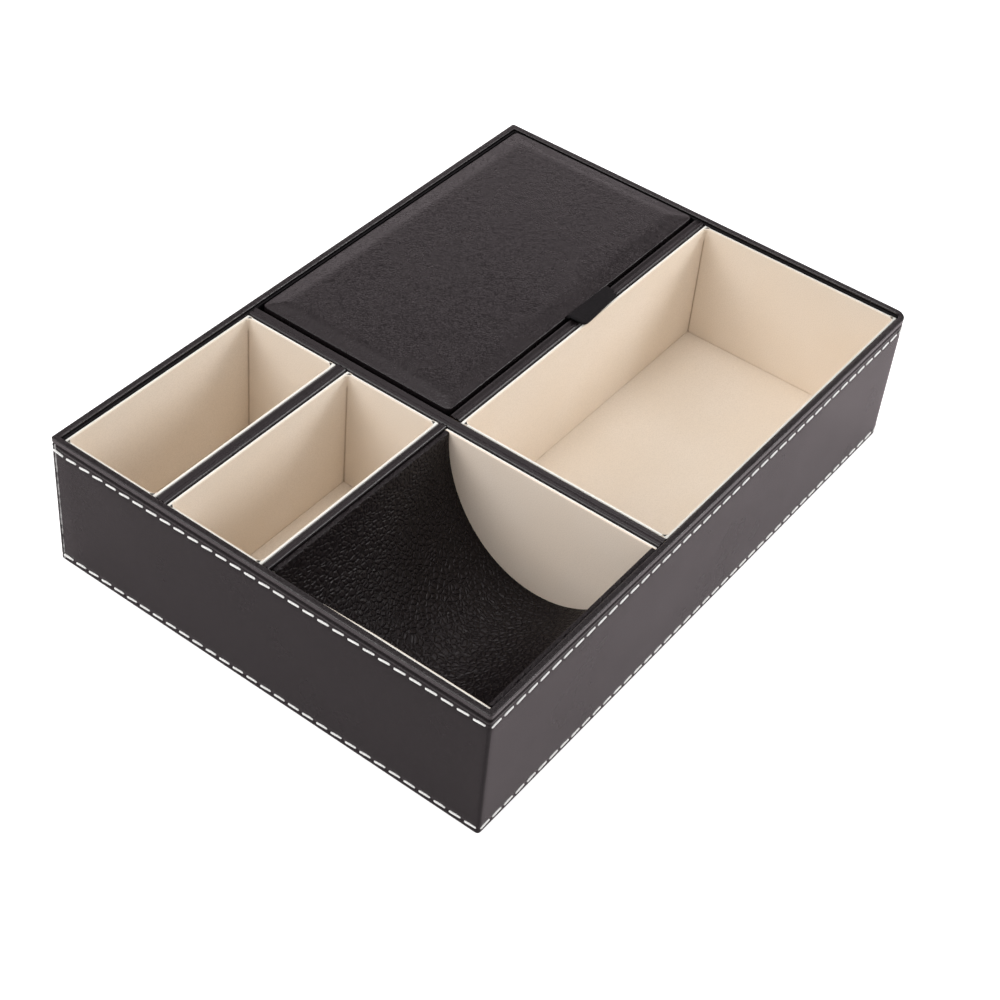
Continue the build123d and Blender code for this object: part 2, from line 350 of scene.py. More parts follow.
@dataclass(frozen=True)
class SuedeFinish(Finish):
    """Flocked suede on card: a brushed nap, faint blotches and the white cut edge of the card."""

    name: str
    colour: Colour
    shade: Colour
    cut_edge: Colour = (0.92, 0.90, 0.84)
    # Painted shade for the inner corners where cards meet and for the floor's edges.
    seam: Colour = (0.30, 0.19, 0.10)
    nap_per_metre: float = 2600.0
    nap_mm: float = 0.05
    nap_shade: float = 0.9
    blotches_per_metre: float = 32.0

    def build(self) -> bpy.types.Material:
        """Make the material.

        Returns:
            A material that reads Object coordinates and the mesh's "seam" and "cut_edge" attributes.
        """
        material, graph, shader, place = self.start()
        nap = graph.noise(place, self.nap_per_metre, 5.0, 0.7)
        blotch = graph.noise(place, self.blotches_per_metre, 3.0)
        brushed = graph.mix(graph.ramp(blotch, 0.3, 0.7), self.colour, self.shade)
        flocked = graph.mix(graph.ramp(nap, 0.62, 0.3), brushed, shaded(self.shade, self.nap_shade))
        # Painted shade along the seams: darker where the cards meet.
        seam = graph.ramp(graph.attribute("seam"), 0.2, 1.0, 0.0, 0.5)
        cut = graph.ramp(graph.attribute("cut_edge"), 0.35, 0.65)
        looks = {
            "Base Color": graph.mix(cut, graph.mix(seam, flocked, self.seam), self.cut_edge),
            "Roughness": graph.ramp(nap, 0.3, 0.7, 0.86, 0.98),
            "Normal": graph.bump(nap, self.nap_mm, 0.8),
            "Sheen Weight": 0.12,
            "Sheen Roughness": 0.6,
            "Specular IOR Level": 0.2,
        }
        graph.feed(shader, looks)
        return material


@dataclass(frozen=True)
class FibreFinish(Finish):
    """Plain fibrous stuff, such as board, card, felt or thread: fine light and dark fibres."""

    name: str
    colour: Colour
    dark: Colour
    fibres_per_metre: float = 900.0
    relief_mm: float = 0.04
    roughness: float = 0.85

    def build(self) -> bpy.types.Material:
        """Make the material.

        Returns:
            A material that reads Object coordinates.
        """
        material, graph, shader, place = self.start()
        fibre = graph.noise(place, self.fibres_per_metre, 4.0, 0.65)
        low, high = self.roughness - 0.05, self.roughness + 0.08
        looks = {
            "Base Color": graph.mix(graph.ramp(fibre, 0.35, 0.65), self.dark, self.colour),
            "Roughness": graph.ramp(fibre, 0.3, 0.7, low, high),
            "Normal": graph.bump(fibre, self.relief_mm, 0.7),
        }
        graph.feed(shader, looks)
        return material


@dataclass
class Palette:
    """The organizer's finishes, each built once."""

    wall: bpy.types.Material
    trim: bpy.types.Material
    # A darker, matt copy of the black leather: painted shade on the rim's inner band, also given to the pull
    # tab.
    band: bpy.types.Material
    lid: bpy.types.Material
    scoop: bpy.types.Material
    suede: bpy.types.Material
    # A brighter copy of the cream suede: painted light for the scoop's right card.
    pale: bpy.types.Material
    thread: bpy.types.Material
    felt: bpy.types.Material
    board: bpy.types.Material
    card: bpy.types.Material

    @classmethod
    def build(cls) -> "Palette":
        """Make every finish.

        Returns:
            The palette.
        """
        charcoal = (0.0075, 0.0058, 0.0062)
        black = (0.0095, 0.0070, 0.0077)
        shaded_black = (0.0050, 0.0046, 0.0052)
        wall = LeatherFinish(
            "wall_leather", charcoal, depth_mm=0.025, roughness=0.25, specular=0.13, taut_specular=0.46
        )
        trim = LeatherFinish("trim_leather", black, depth_mm=0.012, roughness=0.26, specular=0.33)
        # Darker and matter than the trim: painted shade for the rim's inner band.
        band = LeatherFinish("painted_shade_band_leather", shaded_black, depth_mm=0.04, roughness=0.55, specular=0.1)
        lid = LeatherFinish(
            "lid_leather", black, depth_mm=0.034, roughness=0.26, cell_mm=1.1, wrinkle=0.8, specular=0.36
        )
        scoop = LeatherFinish(
            "scoop_leather", black, depth_mm=0.26, roughness=0.42, cell_mm=2.0, wrinkle=0.1, specular=0.2
        )
        return cls(
            wall=wall.build(),
            trim=trim.build(),
            band=band.build(),
            lid=lid.build(),
            scoop=scoop.build(),
            suede=SuedeFinish("cream_suede", (0.87, 0.775, 0.67), (0.85, 0.745, 0.625)).build(),
            pale=SuedeFinish("painted_light_suede", (0.98, 0.85, 0.725), (0.97, 0.825, 0.685)).build(),
            thread=FibreFinish("white_thread", (0.95, 0.945, 0.93), (0.84, 0.83, 0.81)).build(),
            felt=FibreFinish("base_felt", (0.022, 0.021, 0.021), (0.010, 0.010, 0.010)).build(),
            board=FibreFinish("fibreboard", (0.52, 0.39, 0.26), (0.36, 0.26, 0.16)).build(),
            card=FibreFinish("grey_card", (0.45, 0.43, 0.40), (0.33, 0.31, 0.29)).build(),
        )


# Meshes


@dataclass(frozen=True)
class Block:
    """The box of one or more CAD nodes."""

    low: Vector
    high: Vector

    @classmethod
    def of(cls, *nodes: str) -> "Block":
        """The box round the named nodes.

        Args:
            *nodes: The nodes' names.

        Returns:
            The box.
        """
        lows, highs = zip(*(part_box(node) for node in nodes))
        low = Vector([min(corner[axis] for corner in lows) for axis in (X, Y, Z)])
        return cls(low, Vector([max(corner[axis] for corner in highs) for axis in (X, Y, Z)]))

    @property
    def size(self) -> Vector:
        """Its extent along each axis."""
        return self.high - self.low

    @property
    def middle(self) -> Vector:
        """Its centre."""
        return (self.low + self.high) / 2


def linked(name: str, data: bpy.types.ID) -> bpy.types.Object:
    """Make an object and link it to the scene.

    Args:
        name: The object's name.
        data: Its mesh, lamp or camera.

    Returns:
        The object.
    """
    thing = bpy.data.objects.new(name, data)
    bpy.context.scene.collection.objects.link(thing)
    return thing


def plain_mesh(
    name: str, points: Sequence[Vector], edges: Sequence[Edge], faces: Sequence[Face]
) -> bpy.types.Mesh:
    """Make a mesh.

    Args:
        name: The mesh's name.
        points: Its vertices, in place.
        edges: Vertex numbers of each edge that has no face.
        faces: Vertex numbers of each face.

    Returns:
        The mesh.
    """
    mesh = bpy.data.meshes.new(name)
    mesh.from_pydata([tuple(point) for point in points], edges, faces)
    return mesh


def face_outwards(mesh: bpy.types.Mesh, merge: float = 0.0) -> None:
    """Turn a mesh's faces outwards.

    Args:
        mesh: The mesh.
        merge: Vertices closer than this are merged first, unless it is 0.
    """
    work = bmesh.new()
    work.from_mesh(mesh)
    if merge:
        bmesh.ops.remove_doubles(work, verts=work.verts, dist=merge)
        bmesh.ops.dissolve_degenerate(work, edges=work.edges, dist=merge)
    bmesh.ops.recalc_face_normals(work, faces=work.faces)
    work.to_mesh(mesh)
    work.free()


def mesh_object(name: str, points: Sequence[Vector], faces: Sequence[Face]) -> bpy.types.Object:
    """Make a smooth-shaded mesh object with outward faces.

    Args:
        name: The object's name.
        points: Its vertices, in place.
        faces: Vertex numbers of each face.

    Returns:
        The object, linked to the scene.
    """
    mesh = plain_mesh(name, points, [], faces)
    face_outwards(mesh, merge=0.1 * MICRON)
    mesh.shade_smooth()
    return linked(name, mesh)


def join_rings(first: Sequence[int], second: Sequence[int]) -> list[Face]:
    """The faces between two rings of equally many vertices."""
    following = [*range(1, len(first)), 0]
    return [(first[i], first[j], second[j], second[i]) for i, j in enumerate(following)]


def skin(name: str, loops: Sequence[Loop], closed: bool = False) -> bpy.types.Object:
    """Join closed loops of equally many points into one surface.

    Args:
        name: The object's name.
        loops: The loops, in order along the piece.
        closed: Whether the last loop joins the first. Otherwise both are filled.

    Returns:
        The object.
    """
    count = len(loops[0])
    rings = [range(row * count, (row + 1) * count) for row in range(len(loops))]
    faces = [face for first, second in zip(rings, rings[1:]) for face in join_rings(first, second)]
    faces += join_rings(rings[-1], rings[0]) if closed else [tuple(rings[0]), tuple(rings[-1])]
    return mesh_object(name, [point for loop in loops for point in loop], faces)


def paint(thing: bpy.types.Object, attribute: str, value: Callable[[Vector], float]) -> None:
    """Store a value on each vertex.

    Args:
        thing: The object.
        attribute: The attribute's name.
        value: Gives the value at a vertex's place.
    """
    layer = thing.data.attributes.new(attribute, "FLOAT", "POINT")
    layer.data.foreach_set("value", [value(vertex.co) for vertex in thing.data.vertices])


def clamp(value: float) -> float:
    """A value held between 0 and 1."""
    return min(1.0, max(0.0, value))


def bell(distance: float, width: float) -> float:
    """A smooth hump of height 1, a width away from which it has mostly gone."""
    return math.exp(-((distance / width) ** 2))


def wobble(place: Vector, per_metre: float, seed: float) -> float:
    """Smooth noise from -1 to 1 at a place, with so many swells in a metre and a seed of its own."""
    return noise.noise(place * per_metre + Vector((seed, 2 * seed, 3 * seed)))


def evenly(low: float, high: float, steps: int) -> list[float]:
    """Places from low to high in equal steps, both ends included."""
    return [low + (high - low) * i / steps for i in range(steps + 1)]


def angles(start: float, end: float, steps: int) -> list[float]:
    """Angles in radians from start to end, both in degrees and included, in equal steps."""
    return [math.radians(angle) for angle in evenly(start, end, steps)]


def dress(
    thing: bpy.types.Object,
    material: bpy.types.Material,
    body: Optional[Body],
    replaces: Sequence[str] = (),
) -> None:
    """Give a finished piece its material, body and the CAD nodes that it stands for.

    Args:
        thing: The piece, in place.
        material: Its finish.
        body: The body it rides on, or None, where it is left unattached.
        replaces: The CAD nodes that it replaces.
    """
    thing.data.materials.clear()
    thing.data.materials.append(material)
    if body:
        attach(thing, body.value)
    if replaces:
        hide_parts(*replaces)
    known = ", ".join(replaces) or "no CAD node"
    LOG.info("%s: %d faces, stands for %s", thing.name, len(thing.data.polygons), known)


def bake(
    name: str, host: bpy.types.Object, tree: bpy.types.NodeTree, values: dict[str, object]
) -> bpy.types.Object:
    """Run a geometry tree on a host and keep the result as a plain mesh object.

    Args:
        name: The new object's name.
        host: The object that carries the modifier, deleted afterwards.
        tree: The geometry tree.
        values: The modifier's inputs by the names of the tree's sockets.

    Returns:
        The new object.
    """
    modifier = host.modifiers.new(tree.name, "NODES")
    modifier.node_group = tree
    for item in tree.interface.items_tree:
        if item.item_type == "SOCKET" and item.in_out == "INPUT" and item.name in values:
            modifier[item.identifier] = values[item.name]
    graph = bpy.context.evaluated_depsgraph_get()
    mesh = bpy.data.meshes.new_from_object(host.evaluated_get(graph), depsgraph=graph)
    host.modifiers.remove(modifier)
    bpy.data.objects.remove(host)
    mesh.name = name
    return linked(name, mesh)


def wire(name: str, points: Sequence[Vector], closed: bool) -> bpy.types.Object:
    """A host object whose mesh is one chain of edges."""
    edges = [(i, i + 1) for i in range(len(points) - 1)] + ([(len(points) - 1, 0)] if closed else [])
    return linked(name, plain_mesh(name, points, edges, []))


# Geometry trees


def sewn_row_tree() -> bpy.types.NodeTree:
    """Geometry Nodes that sew rounded stitches along a closed path.

    Returns:
        The tree.
    """
    inputs = {
        "Geometry": ("NodeSocketGeometry", None),
        "Count": ("NodeSocketInt", 144),
        "Pitch": ("NodeSocketFloat", 6.3 * MM),
        "Phase": ("NodeSocketFloat", 0.0),
        "Stitch Length": ("NodeSocketFloat", 4.7 * MM),
        "Thread": ("NodeSocketFloat", 0.9 * MM),
        "Tilt": ("NodeSocketFloat", 0.07),
        "Seed": ("NodeSocketInt", 11),
        "Material": ("NodeSocketMaterial", None),
    }
    tree = group_tree("sewn_row", "GeometryNodeTree", inputs, {"Geometry": "NodeSocketGeometry"})
    graph = Graph(tree)
    given = graph.add("NodeGroupInput").outputs
    half_thread = graph.math("MULTIPLY", given["Thread"], 0.5)
    half_run = graph.math("SUBTRACT", graph.math("MULTIPLY", given["Stitch Length"], 0.5), half_thread)

    # One stitch: a ball drawn out into a rod along the row, with its ends dipped into the leather.
    ball = graph.add("GeometryNodeMeshUVSphere", {"Segments": 8, "Rings": 8, "Radius": half_thread})
    on_side = {"Geometry": ball.outputs["Mesh"], "Rotation": (0.0, math.pi / 2, 0.0)}
    turned = graph.add("GeometryNodeTransform", on_side)
    place = graph.add("GeometryNodeInputPosition").outputs[0]
    x = graph.add("ShaderNodeSeparateXYZ", {0: place}).outputs["X"]
    reach = graph.math("MULTIPLY", graph.math("SIGN", x), half_run)
    share = graph.math("DIVIDE", reach, half_run)
    dip = graph.math("MULTIPLY", graph.math("ABSOLUTE", share), graph.math("MULTIPLY", given["Thread"], 0.3))
    offset = graph.add("ShaderNodeCombineXYZ", {"X": reach, "Y": dip}).outputs[0]
    rod = graph.add("GeometryNodeSetPosition", {"Geometry": turned.outputs[0], "Offset": offset})

    # Its places, a pitch apart along the path.
    curve = graph.add("GeometryNodeMeshToCurve", {"Mesh": given["Geometry"]}).outputs["Curve"]
    spots = graph.add("GeometryNodePoints", {"Count": given["Count"]}).outputs[0]
    index = graph.add("GeometryNodeInputIndex").outputs[0]
    walked = graph.math("ADD", graph.math("MULTIPLY", index, given["Pitch"]), given["Phase"])
    sample = graph.add("GeometryNodeSampleCurve", {"Curves": curve, "Length": walked}, mode="LENGTH")
    placed = graph.add("GeometryNodeSetPosition", {"Geometry": spots, "Position": sample.outputs["Position"]})

    # Each stitch follows the path and leans back by its own share of the tilt.
    axis = "FunctionNodeAlignRotationToVector"
    facing = graph.add(axis, {"Vector": sample.outputs["Tangent"]}, axis="X").outputs[0]
    upright_inputs = {"Rotation": facing, "Vector": (0.0, 0.0, 1.0)}
    upright = graph.add(axis, upright_inputs, axis="Z", pivot_axis="X").outputs[0]
    least, most = (graph.math("MULTIPLY", given["Tilt"], share) for share in (0.4, 1.6))
    jitter_inputs = {2: least, 3: most, "Seed": given["Seed"]}
    jitter = graph.add("FunctionNodeRandomValue", jitter_inputs, data_type="FLOAT").outputs[1]
    euler = graph.add("ShaderNodeCombineXYZ", {"Y": graph.math("MULTIPLY", jitter, -1.0)}).outputs[0]
    lean = graph.add("FunctionNodeEulerToRotation", {0: euler}).outputs[0]
    turn_inputs = {"Rotation": upright, "Rotate By": lean}
    turn = graph.add("FunctionNodeRotateRotation", turn_inputs, rotation_space="LOCAL")
    row = {"Points": placed.outputs[0], "Instance": rod.outputs[0], "Rotation": turn.outputs[0]}
    stitches = graph.add("GeometryNodeInstanceOnPoints", row)
    graph.finish_geometry(stitches.outputs[0], given["Material"])
    return tree


def folded_cap_tree() -> bpy.types.NodeTree:
    """Geometry Nodes that fold leather over a divider: a section swept along a path, uneven on top.

    Returns:
        The tree.
    """
    inputs = {
        "Geometry": ("NodeSocketGeometry", None),
        "Section": ("NodeSocketObject", None),
        "Step": ("NodeSocketFloat", 2.0 * MM),
        "Swell": ("NodeSocketFloat", 0.1 * MM),
        "Material": ("NodeSocketMaterial", None),
    }
    tree = group_tree("folded_cap", "GeometryNodeTree", inputs, {"Geometry": "NodeSocketGeometry"})
    graph = Graph(tree)
    given = graph.add("NodeGroupInput").outputs
    line = graph.add("GeometryNodeMeshToCurve", {"Mesh": given["Geometry"]}).outputs["Curve"]
    upright = graph.add("GeometryNodeSetCurveNormal", {"Curve": line}, mode="Z_UP").outputs[0]
    even_inputs = {"Curve": upright, "Length": given["Step"]}
    even = graph.add("GeometryNodeResampleCurve", even_inputs, mode="LENGTH").outputs[0]
    section = graph.add("GeometryNodeObjectInfo", {"Object": given["Section"]}).outputs["Geometry"]
    profile = graph.add("GeometryNodeMeshToCurve", {"Mesh": section}).outputs["Curve"]
    sweep = {"Curve": even, "Profile Curve": profile, "Fill Caps": True}
    swept = graph.add("GeometryNodeCurveToMesh", sweep).outputs[0]
    place = graph.add("GeometryNodeInputPosition").outputs[0]
    swell = graph.math("SUBTRACT", graph.noise(place, 60.0, 1.0), 0.5)
    rise = graph.math("MULTIPLY", swell, given["Swell"])
    offset = graph.add("ShaderNodeCombineXYZ", {"Z": rise}).outputs[0]
    uneven = graph.add("GeometryNodeSetPosition", {"Geometry": swept, "Offset": offset})
    graph.finish_geometry(uneven.outputs[0], given["Material"])
    return tree


SEWN_ROW = sewn_row_tree()
FOLDED_CAP = folded_cap_tree()


# The tray's plan


def after(side: int) -> int:
    """The next side, walked anticlockwise: 0 is the front, 1 the right, 2 the back and 3 the left."""
    return (side + 1) % 4


@dataclass(frozen=True)
class Place:
    """One place on the outline: its share is 0 to 1 along a side and 1 to 2 round the next corner."""

    side: int
    share: float
    length: float


class Outline:
    """The tray's rounded plan, walked anticlockwise from its front left corner."""

    normals = (Vector((0, -1, 0)), Vector((1, 0, 0)), Vector((0, 1, 0)), Vector((-1, 0, 0)))
    arc_step = 0.7 * MM

    def __init__(self, block: Block, radii: Sequence[float], step: float, close: Sequence[float]) -> None:
        """Lay out the places.

        Args:
            block: The box of the outer skin.
            radii: Corner radii, from the front left corner anticlockwise.
            step: The distance between places on a straight side.
            close: More places on the left side, by their distance from its back end.
        """
        low, high = block.low, block.high
        plan = ((low.x, low.y), (high.x, low.y), (high.x, high.y), (low.x, high.y))
        self.corners = [Vector((x, y, 0)) for x, y in plan]
        self.radii = radii
        self.places: list[Place] = []
        self.length = 0.0
        for side in range(4):
            radius, edge = radii[after(side)], self.corners[after(side)] - self.corners[side]
            straight = edge.length - radii[side] - radius
            walked = evenly(0.0, straight, max(2, round(straight / step)))[:-1]
            if side == 3:
                walked = sorted([*walked, *close])
            self.places += [Place(side, reach / straight, self.length + reach) for reach in walked]
            self.length += straight
            arc, turns = radius * math.pi / 2, max(4, round(radius / self.arc_step))
            self.places += [Place(side, 1 + i / turns, self.length + arc * i / turns) for i in range(turns)]
            self.length += arc

    def along(self, side: int) -> Vector:
        """The direction in which a side is walked."""
        return (self.corners[after(side)] - self.corners[side]).normalized()

    def point(self, place: Place, inset: float, height: float) -> Vector:
        """A point of the plan, drawn in by an inset.

        Args:
            place: Where on the outline.
            inset: How far inside the outer face.
            height: Its level.

        Returns:
            The point. Past a corner's radius, the corner is a plain mitre.
        """
        side, corner = place.side, self.corners[after(place.side)]
        radius = self.radii[after(side)]
        here, there = self.normals[side], self.normals[after(side)]
        if place.share <= 1:
            start = self.corners[side] + self.along(side) * max(self.radii[side], inset)
            end = corner - self.along(side) * max(radius, inset)
            spot = start.lerp(end, place.share) - here * inset
        elif inset < radius:
            angle = (place.share - 1) * math.pi / 2
            outward = here * math.cos(angle) + there * math.sin(angle)
            spot = corner - here * radius - there * radius + outward * (radius - inset)
        else:
            spot = corner - (here + there) * inset
        return Vector((spot.x, spot.y, height))


# The tray


@dataclass
class SideSkin:
    """The outer leather: turned under the base, stitched twice and rolled over at the rim."""

    thickness: float = 0.6 * MM
    radii: tuple = (1.4 * MM, 5.0 * MM, 1.0 * MM, 1.0 * MM)
    step: float = 1.57 * MM
    fine_step: float = 0.3 * MM
    coarse_step: float = 4.5 * MM

    roll_width: float = 2.5 * MM
    outer_round: float = 0.5 * MM
    inner_round: float = 0.6 * MM
    round_steps: int = 6
    foot_radius: float = 1.6 * MM
    foot_steps: int = 5
    turn_under: float = 12.0 * MM
    fold_insets: tuple = (2.0 * MM, 1.2 * MM)

    crease_below_rim: float = 2.5 * MM
    crease_depth: float = 0.42 * MM
    crease_width: float = 0.42 * MM
    welt_below_rim: float = 4.4 * MM
    welt_depth: float = 0.16 * MM
    groove_depth: float = 0.22 * MM
    groove_width: float = 1.0 * MM
    groove_reach: float = 2.2 * MM
    groove_pull: float = 0.35
    swell: float = 0.06 * MM
    swells_per_metre: float = 45.0
    swell_seed: float = 4.2

    top_row_below_rim: float = 5.8 * MM
    base_row_above_foot: float = 3.2 * MM
    stitches: int = 144
    stitch_length: float = 4.9 * MM
    thread: float = 1.0 * MM
    thread_stands_out: float = 0.044 * MM
    stitch_tilt: float = 4.0
    first_rise: float = 0.9 * MM
    first_reach: float = 2.6 * MM
    first_depth: float = 1.0 * MM

    seam_from_corner: float = 1.5 * MM
    seam_lap: float = 0.3 * MM
    seam_fade: float = 7.0 * MM
    seam_width: float = 0.45 * MM
    seam_steps: tuple = (-0.2 * MM, 0.0, 0.05 * MM, 0.3 * MM, 0.6 * MM, 1.0 * MM, 2.0 * MM)
    least_step: float = 0.02 * MM

    raw_edge: float = 0.1 * MM
    edge_wear: float = 0.75
    # Painted highlight on the upper part of the back left corner, carried in the wear mask.
    corner_highlight: float = 0.7
    corner_highlight_width: float = 0.9 * MM
    highlight_below_rim: float = 11.0 * MM
    highlight_reach: float = 8.0 * MM
    left_face: float = 1.5 * MM
    ridge_insets: tuple = (0.2 * MM, 0.3 * MM)
    ridge_widths: tuple = (0.35 * MM, 0.4 * MM)
    taut_below_rim: float = 1.9 * MM
    taut_fade: float = 0.6 * MM

    def __post_init__(self) -> None:
        """Read the skin's place from the frame."""
        self.block = Block.of("side_leather")
        self.rim = self.block.high.z
        self.band_top = Block.of("rim_leather").high.z
        seam = self.seam_from_corner - self.radii[3]
        close = [max(seam + shift, self.least_step) for shift in self.seam_steps]
        self.outline = Outline(self.block, self.radii, self.step, close)
        self.pitch = self.outline.length / self.stitches
        self.phase = self.pitch / 2 - self.radii[0] * math.pi / 4
        self.top_row = self.rim - self.top_row_below_rim
        self.base_row = self.block.low.z + self.base_row_above_foot

    def sunk(self, place: Place, height: float) -> float:
        """How far the outer face lies inside the plan.

        Args:
            place: Where on the outline.
            height: The level.

        Returns:
            The depth of the rim's crease, the stitch grooves, the swells and the corner seam together.
        """
        crease = self.crease_depth * bell(height - self.rim + self.crease_below_rim, self.crease_width)
        crease += self.welt_depth * bell(height - self.rim + self.welt_below_rim, self.crease_width)
        turn = 2 * math.pi * (place.length - self.phase) / self.pitch
        pull = 1 - self.groove_pull + self.groove_pull * math.cos(turn)
        rows = sum(bell(height - row, self.groove_width) for row in (self.top_row, self.base_row))
        spot = self.outline.point(place, 0, height)
        swell = self.swell * (1 + wobble(spot, self.swells_per_metre, self.swell_seed))
        return crease + self.groove_depth * pull * rows + swell + self.lap(place, height)

    def lap(self, place: Place, height: float) -> float:
        """How far the face is set back behind the lapped end of the leather.

        Args:
            place: Where on the outline.
            height: The level.

        Returns:
            The depth, which is 0 away from the vertical seam on the left face near the back corner.
        """
        if place.side != 3 or place.share > 1 or height > self.rim - self.crease_below_rim:
            return 0.0
        start, end = self.radii[3], self.radii[0]
        straight = (self.outline.corners[0] - self.outline.corners[3]).length - start - end
        distance = start + place.share * straight - self.seam_from_corner
        if distance < 0 or distance > self.seam_fade:
            return 0.0
        return self.seam_lap * (1 - distance / self.seam_fade) ** 2

    def section(self) -> list[tuple[float, float, bool]]:
        """The skin's closed section.

        Returns:
            Inset, level and whether the point lies on the outer face, all the way round.
        """
        low, high = self.block.low.z, self.rim
        foot, lining = self.foot_radius, low + self.thickness
        rows = [(inset, low, False) for inset in (self.turn_under, self.turn_under / 2, *self.fold_insets)]
        for angle in angles(0, 90, self.foot_steps)[1:-1]:
            rows.append((foot * (1 - math.sin(angle)), low + foot * (1 - math.cos(angle)), False))
        rows += [(0.0, level, True) for level in self.levels(low + foot, high - self.outer_round)]
        for reach, edge, sign in ((self.outer_round, 0.0, 1), (self.inner_round, self.roll_width, -1)):
            arc = []
            for angle in angles(0, 90, self.round_steps)[1:]:
                inset = edge + sign * reach * (1 - math.cos(angle))
                arc.append((inset, high - reach * (1 - math.sin(angle)), False))
            rows += arc[::sign]
        inside = ((self.roll_width, self.band_top), (self.thickness, self.band_top))
        turned = ((self.thickness, lining), (self.turn_under, lining))
        return rows + [(inset, level, False) for inset, level in inside + turned]

    def levels(self, low: float, high: float) -> list[float]:
        """Levels of the outer face, close together where it is creased or stitched.

        Args:
            low: The lowest level.
            high: The highest level.

        Returns:
            The levels, from low to high.
        """
        creases = (self.rim - self.welt_below_rim, self.rim - self.crease_below_rim)
        busy = (self.base_row, self.top_row, *creases)
        found = [low]
        while found[-1] < high - self.fine_step / 2:
            here = found[-1]
            if min(abs(here - level) for level in busy) < self.groove_reach:
                following = here + self.fine_step
            else:
                starts = [level - self.groove_reach for level in busy]
                ahead = [start for start in starts if start > here + MICRON]
                following = min([here + self.coarse_step, *ahead])
            found.append(min(following, high))
        return found

    def wear_and_corner_highlight(self, spot: Vector) -> float:
        """Wear on the seam's raw edge, and a painted highlight on the corner's upper part.

        Args:
            spot: A place on the skin.

        Returns:
            The wear, from 0 to 1.
        """
        from_back = self.block.high.y - spot.y
        if spot.x > self.block.low.x + self.left_face or spot.z > self.rim - self.crease_below_rim:
            return 0.0
        edge = bell(from_back - self.seam_from_corner - self.raw_edge, self.seam_width)
        upper = bell(self.rim - self.highlight_below_rim - spot.z, self.highlight_reach)
        # The edge term is wear on the raw seam edge; the corner term is painted highlight.
        return clamp(self.edge_wear * edge + self.corner_highlight * bell(from_back, self.corner_highlight_width) * upper)

    def taut(self, spot: Vector) -> float:
        """How taut and so how glossy the skin is: most on the two edges of the rolled rim.

        Args:
            spot: A place on the skin.

        Returns:
            The tautness, from 0 to 1.
        """
        low, high = self.block.low, self.block.high
        inset = min(spot.x - low.x, high.x - spot.x, spot.y - low.y, high.y - spot.y)
        outer, inner = self.ridge_insets
        edge = bell(inset - outer, self.ridge_widths[0])
        edge += bell(self.roll_width - inner - inset, self.ridge_widths[1])
        return clamp(edge) * clamp((spot.z - high.z + self.taut_below_rim) / self.taut_fade)

    def build(self, palette: Palette) -> None:
        """Make the skin and its stitches.

        Args:
            palette: The finishes.
        """
        section = self.section()
        loops = []
        for place in self.outline.places:
            loop = []
            for inset, level, outer in section:
                depth = inset + (self.sunk(place, level) if outer else 0.0)
                loop.append(self.outline.point(place, depth, level))
            loops.append(loop)
        leather = skin("side_skin", loops, closed=True)
        # This mask holds wear on the raw seam edge and a painted highlight on the back left corner.
        paint(leather, "wear_and_highlight", self.wear_and_corner_highlight)
        paint(leather, "taut", self.taut)
        dress(leather, palette.wall, Body.TRAY, ["side_leather"])
        self.stitch("rim_stitches", self.top_row, self.first_rise, palette)
        self.stitch("base_stitches", self.base_row, 0.0, palette)

    def stitch(self, name: str, level: float, first_rise: float, palette: Palette) -> None:
        """Sew one row round the tray.

        Args:
            name: The row's name.
            level: Its height.
            first_rise: How much higher it runs at the back left corner.
            palette: The finishes.
        """
        path = [self.outline.point(place, -self.thread_stands_out, level) for place in self.outline.places]
        for spot in path:
            if spot.x < self.block.low.x + self.first_depth:
                spot.z += first_rise * bell(self.block.high.y - spot.y, self.first_reach)
        values = {
            "Count": self.stitches,
            "Pitch": self.pitch,
            "Phase": self.phase,
            "Stitch Length": self.stitch_length,
            "Thread": self.thread,
            "Tilt": math.radians(self.stitch_tilt),
            "Material": palette.thread,
        }
        row = bake(name, wire(name + "_path", path, closed=True), SEWN_ROW, values)
        dress(row, palette.thread, Body.TRAY)


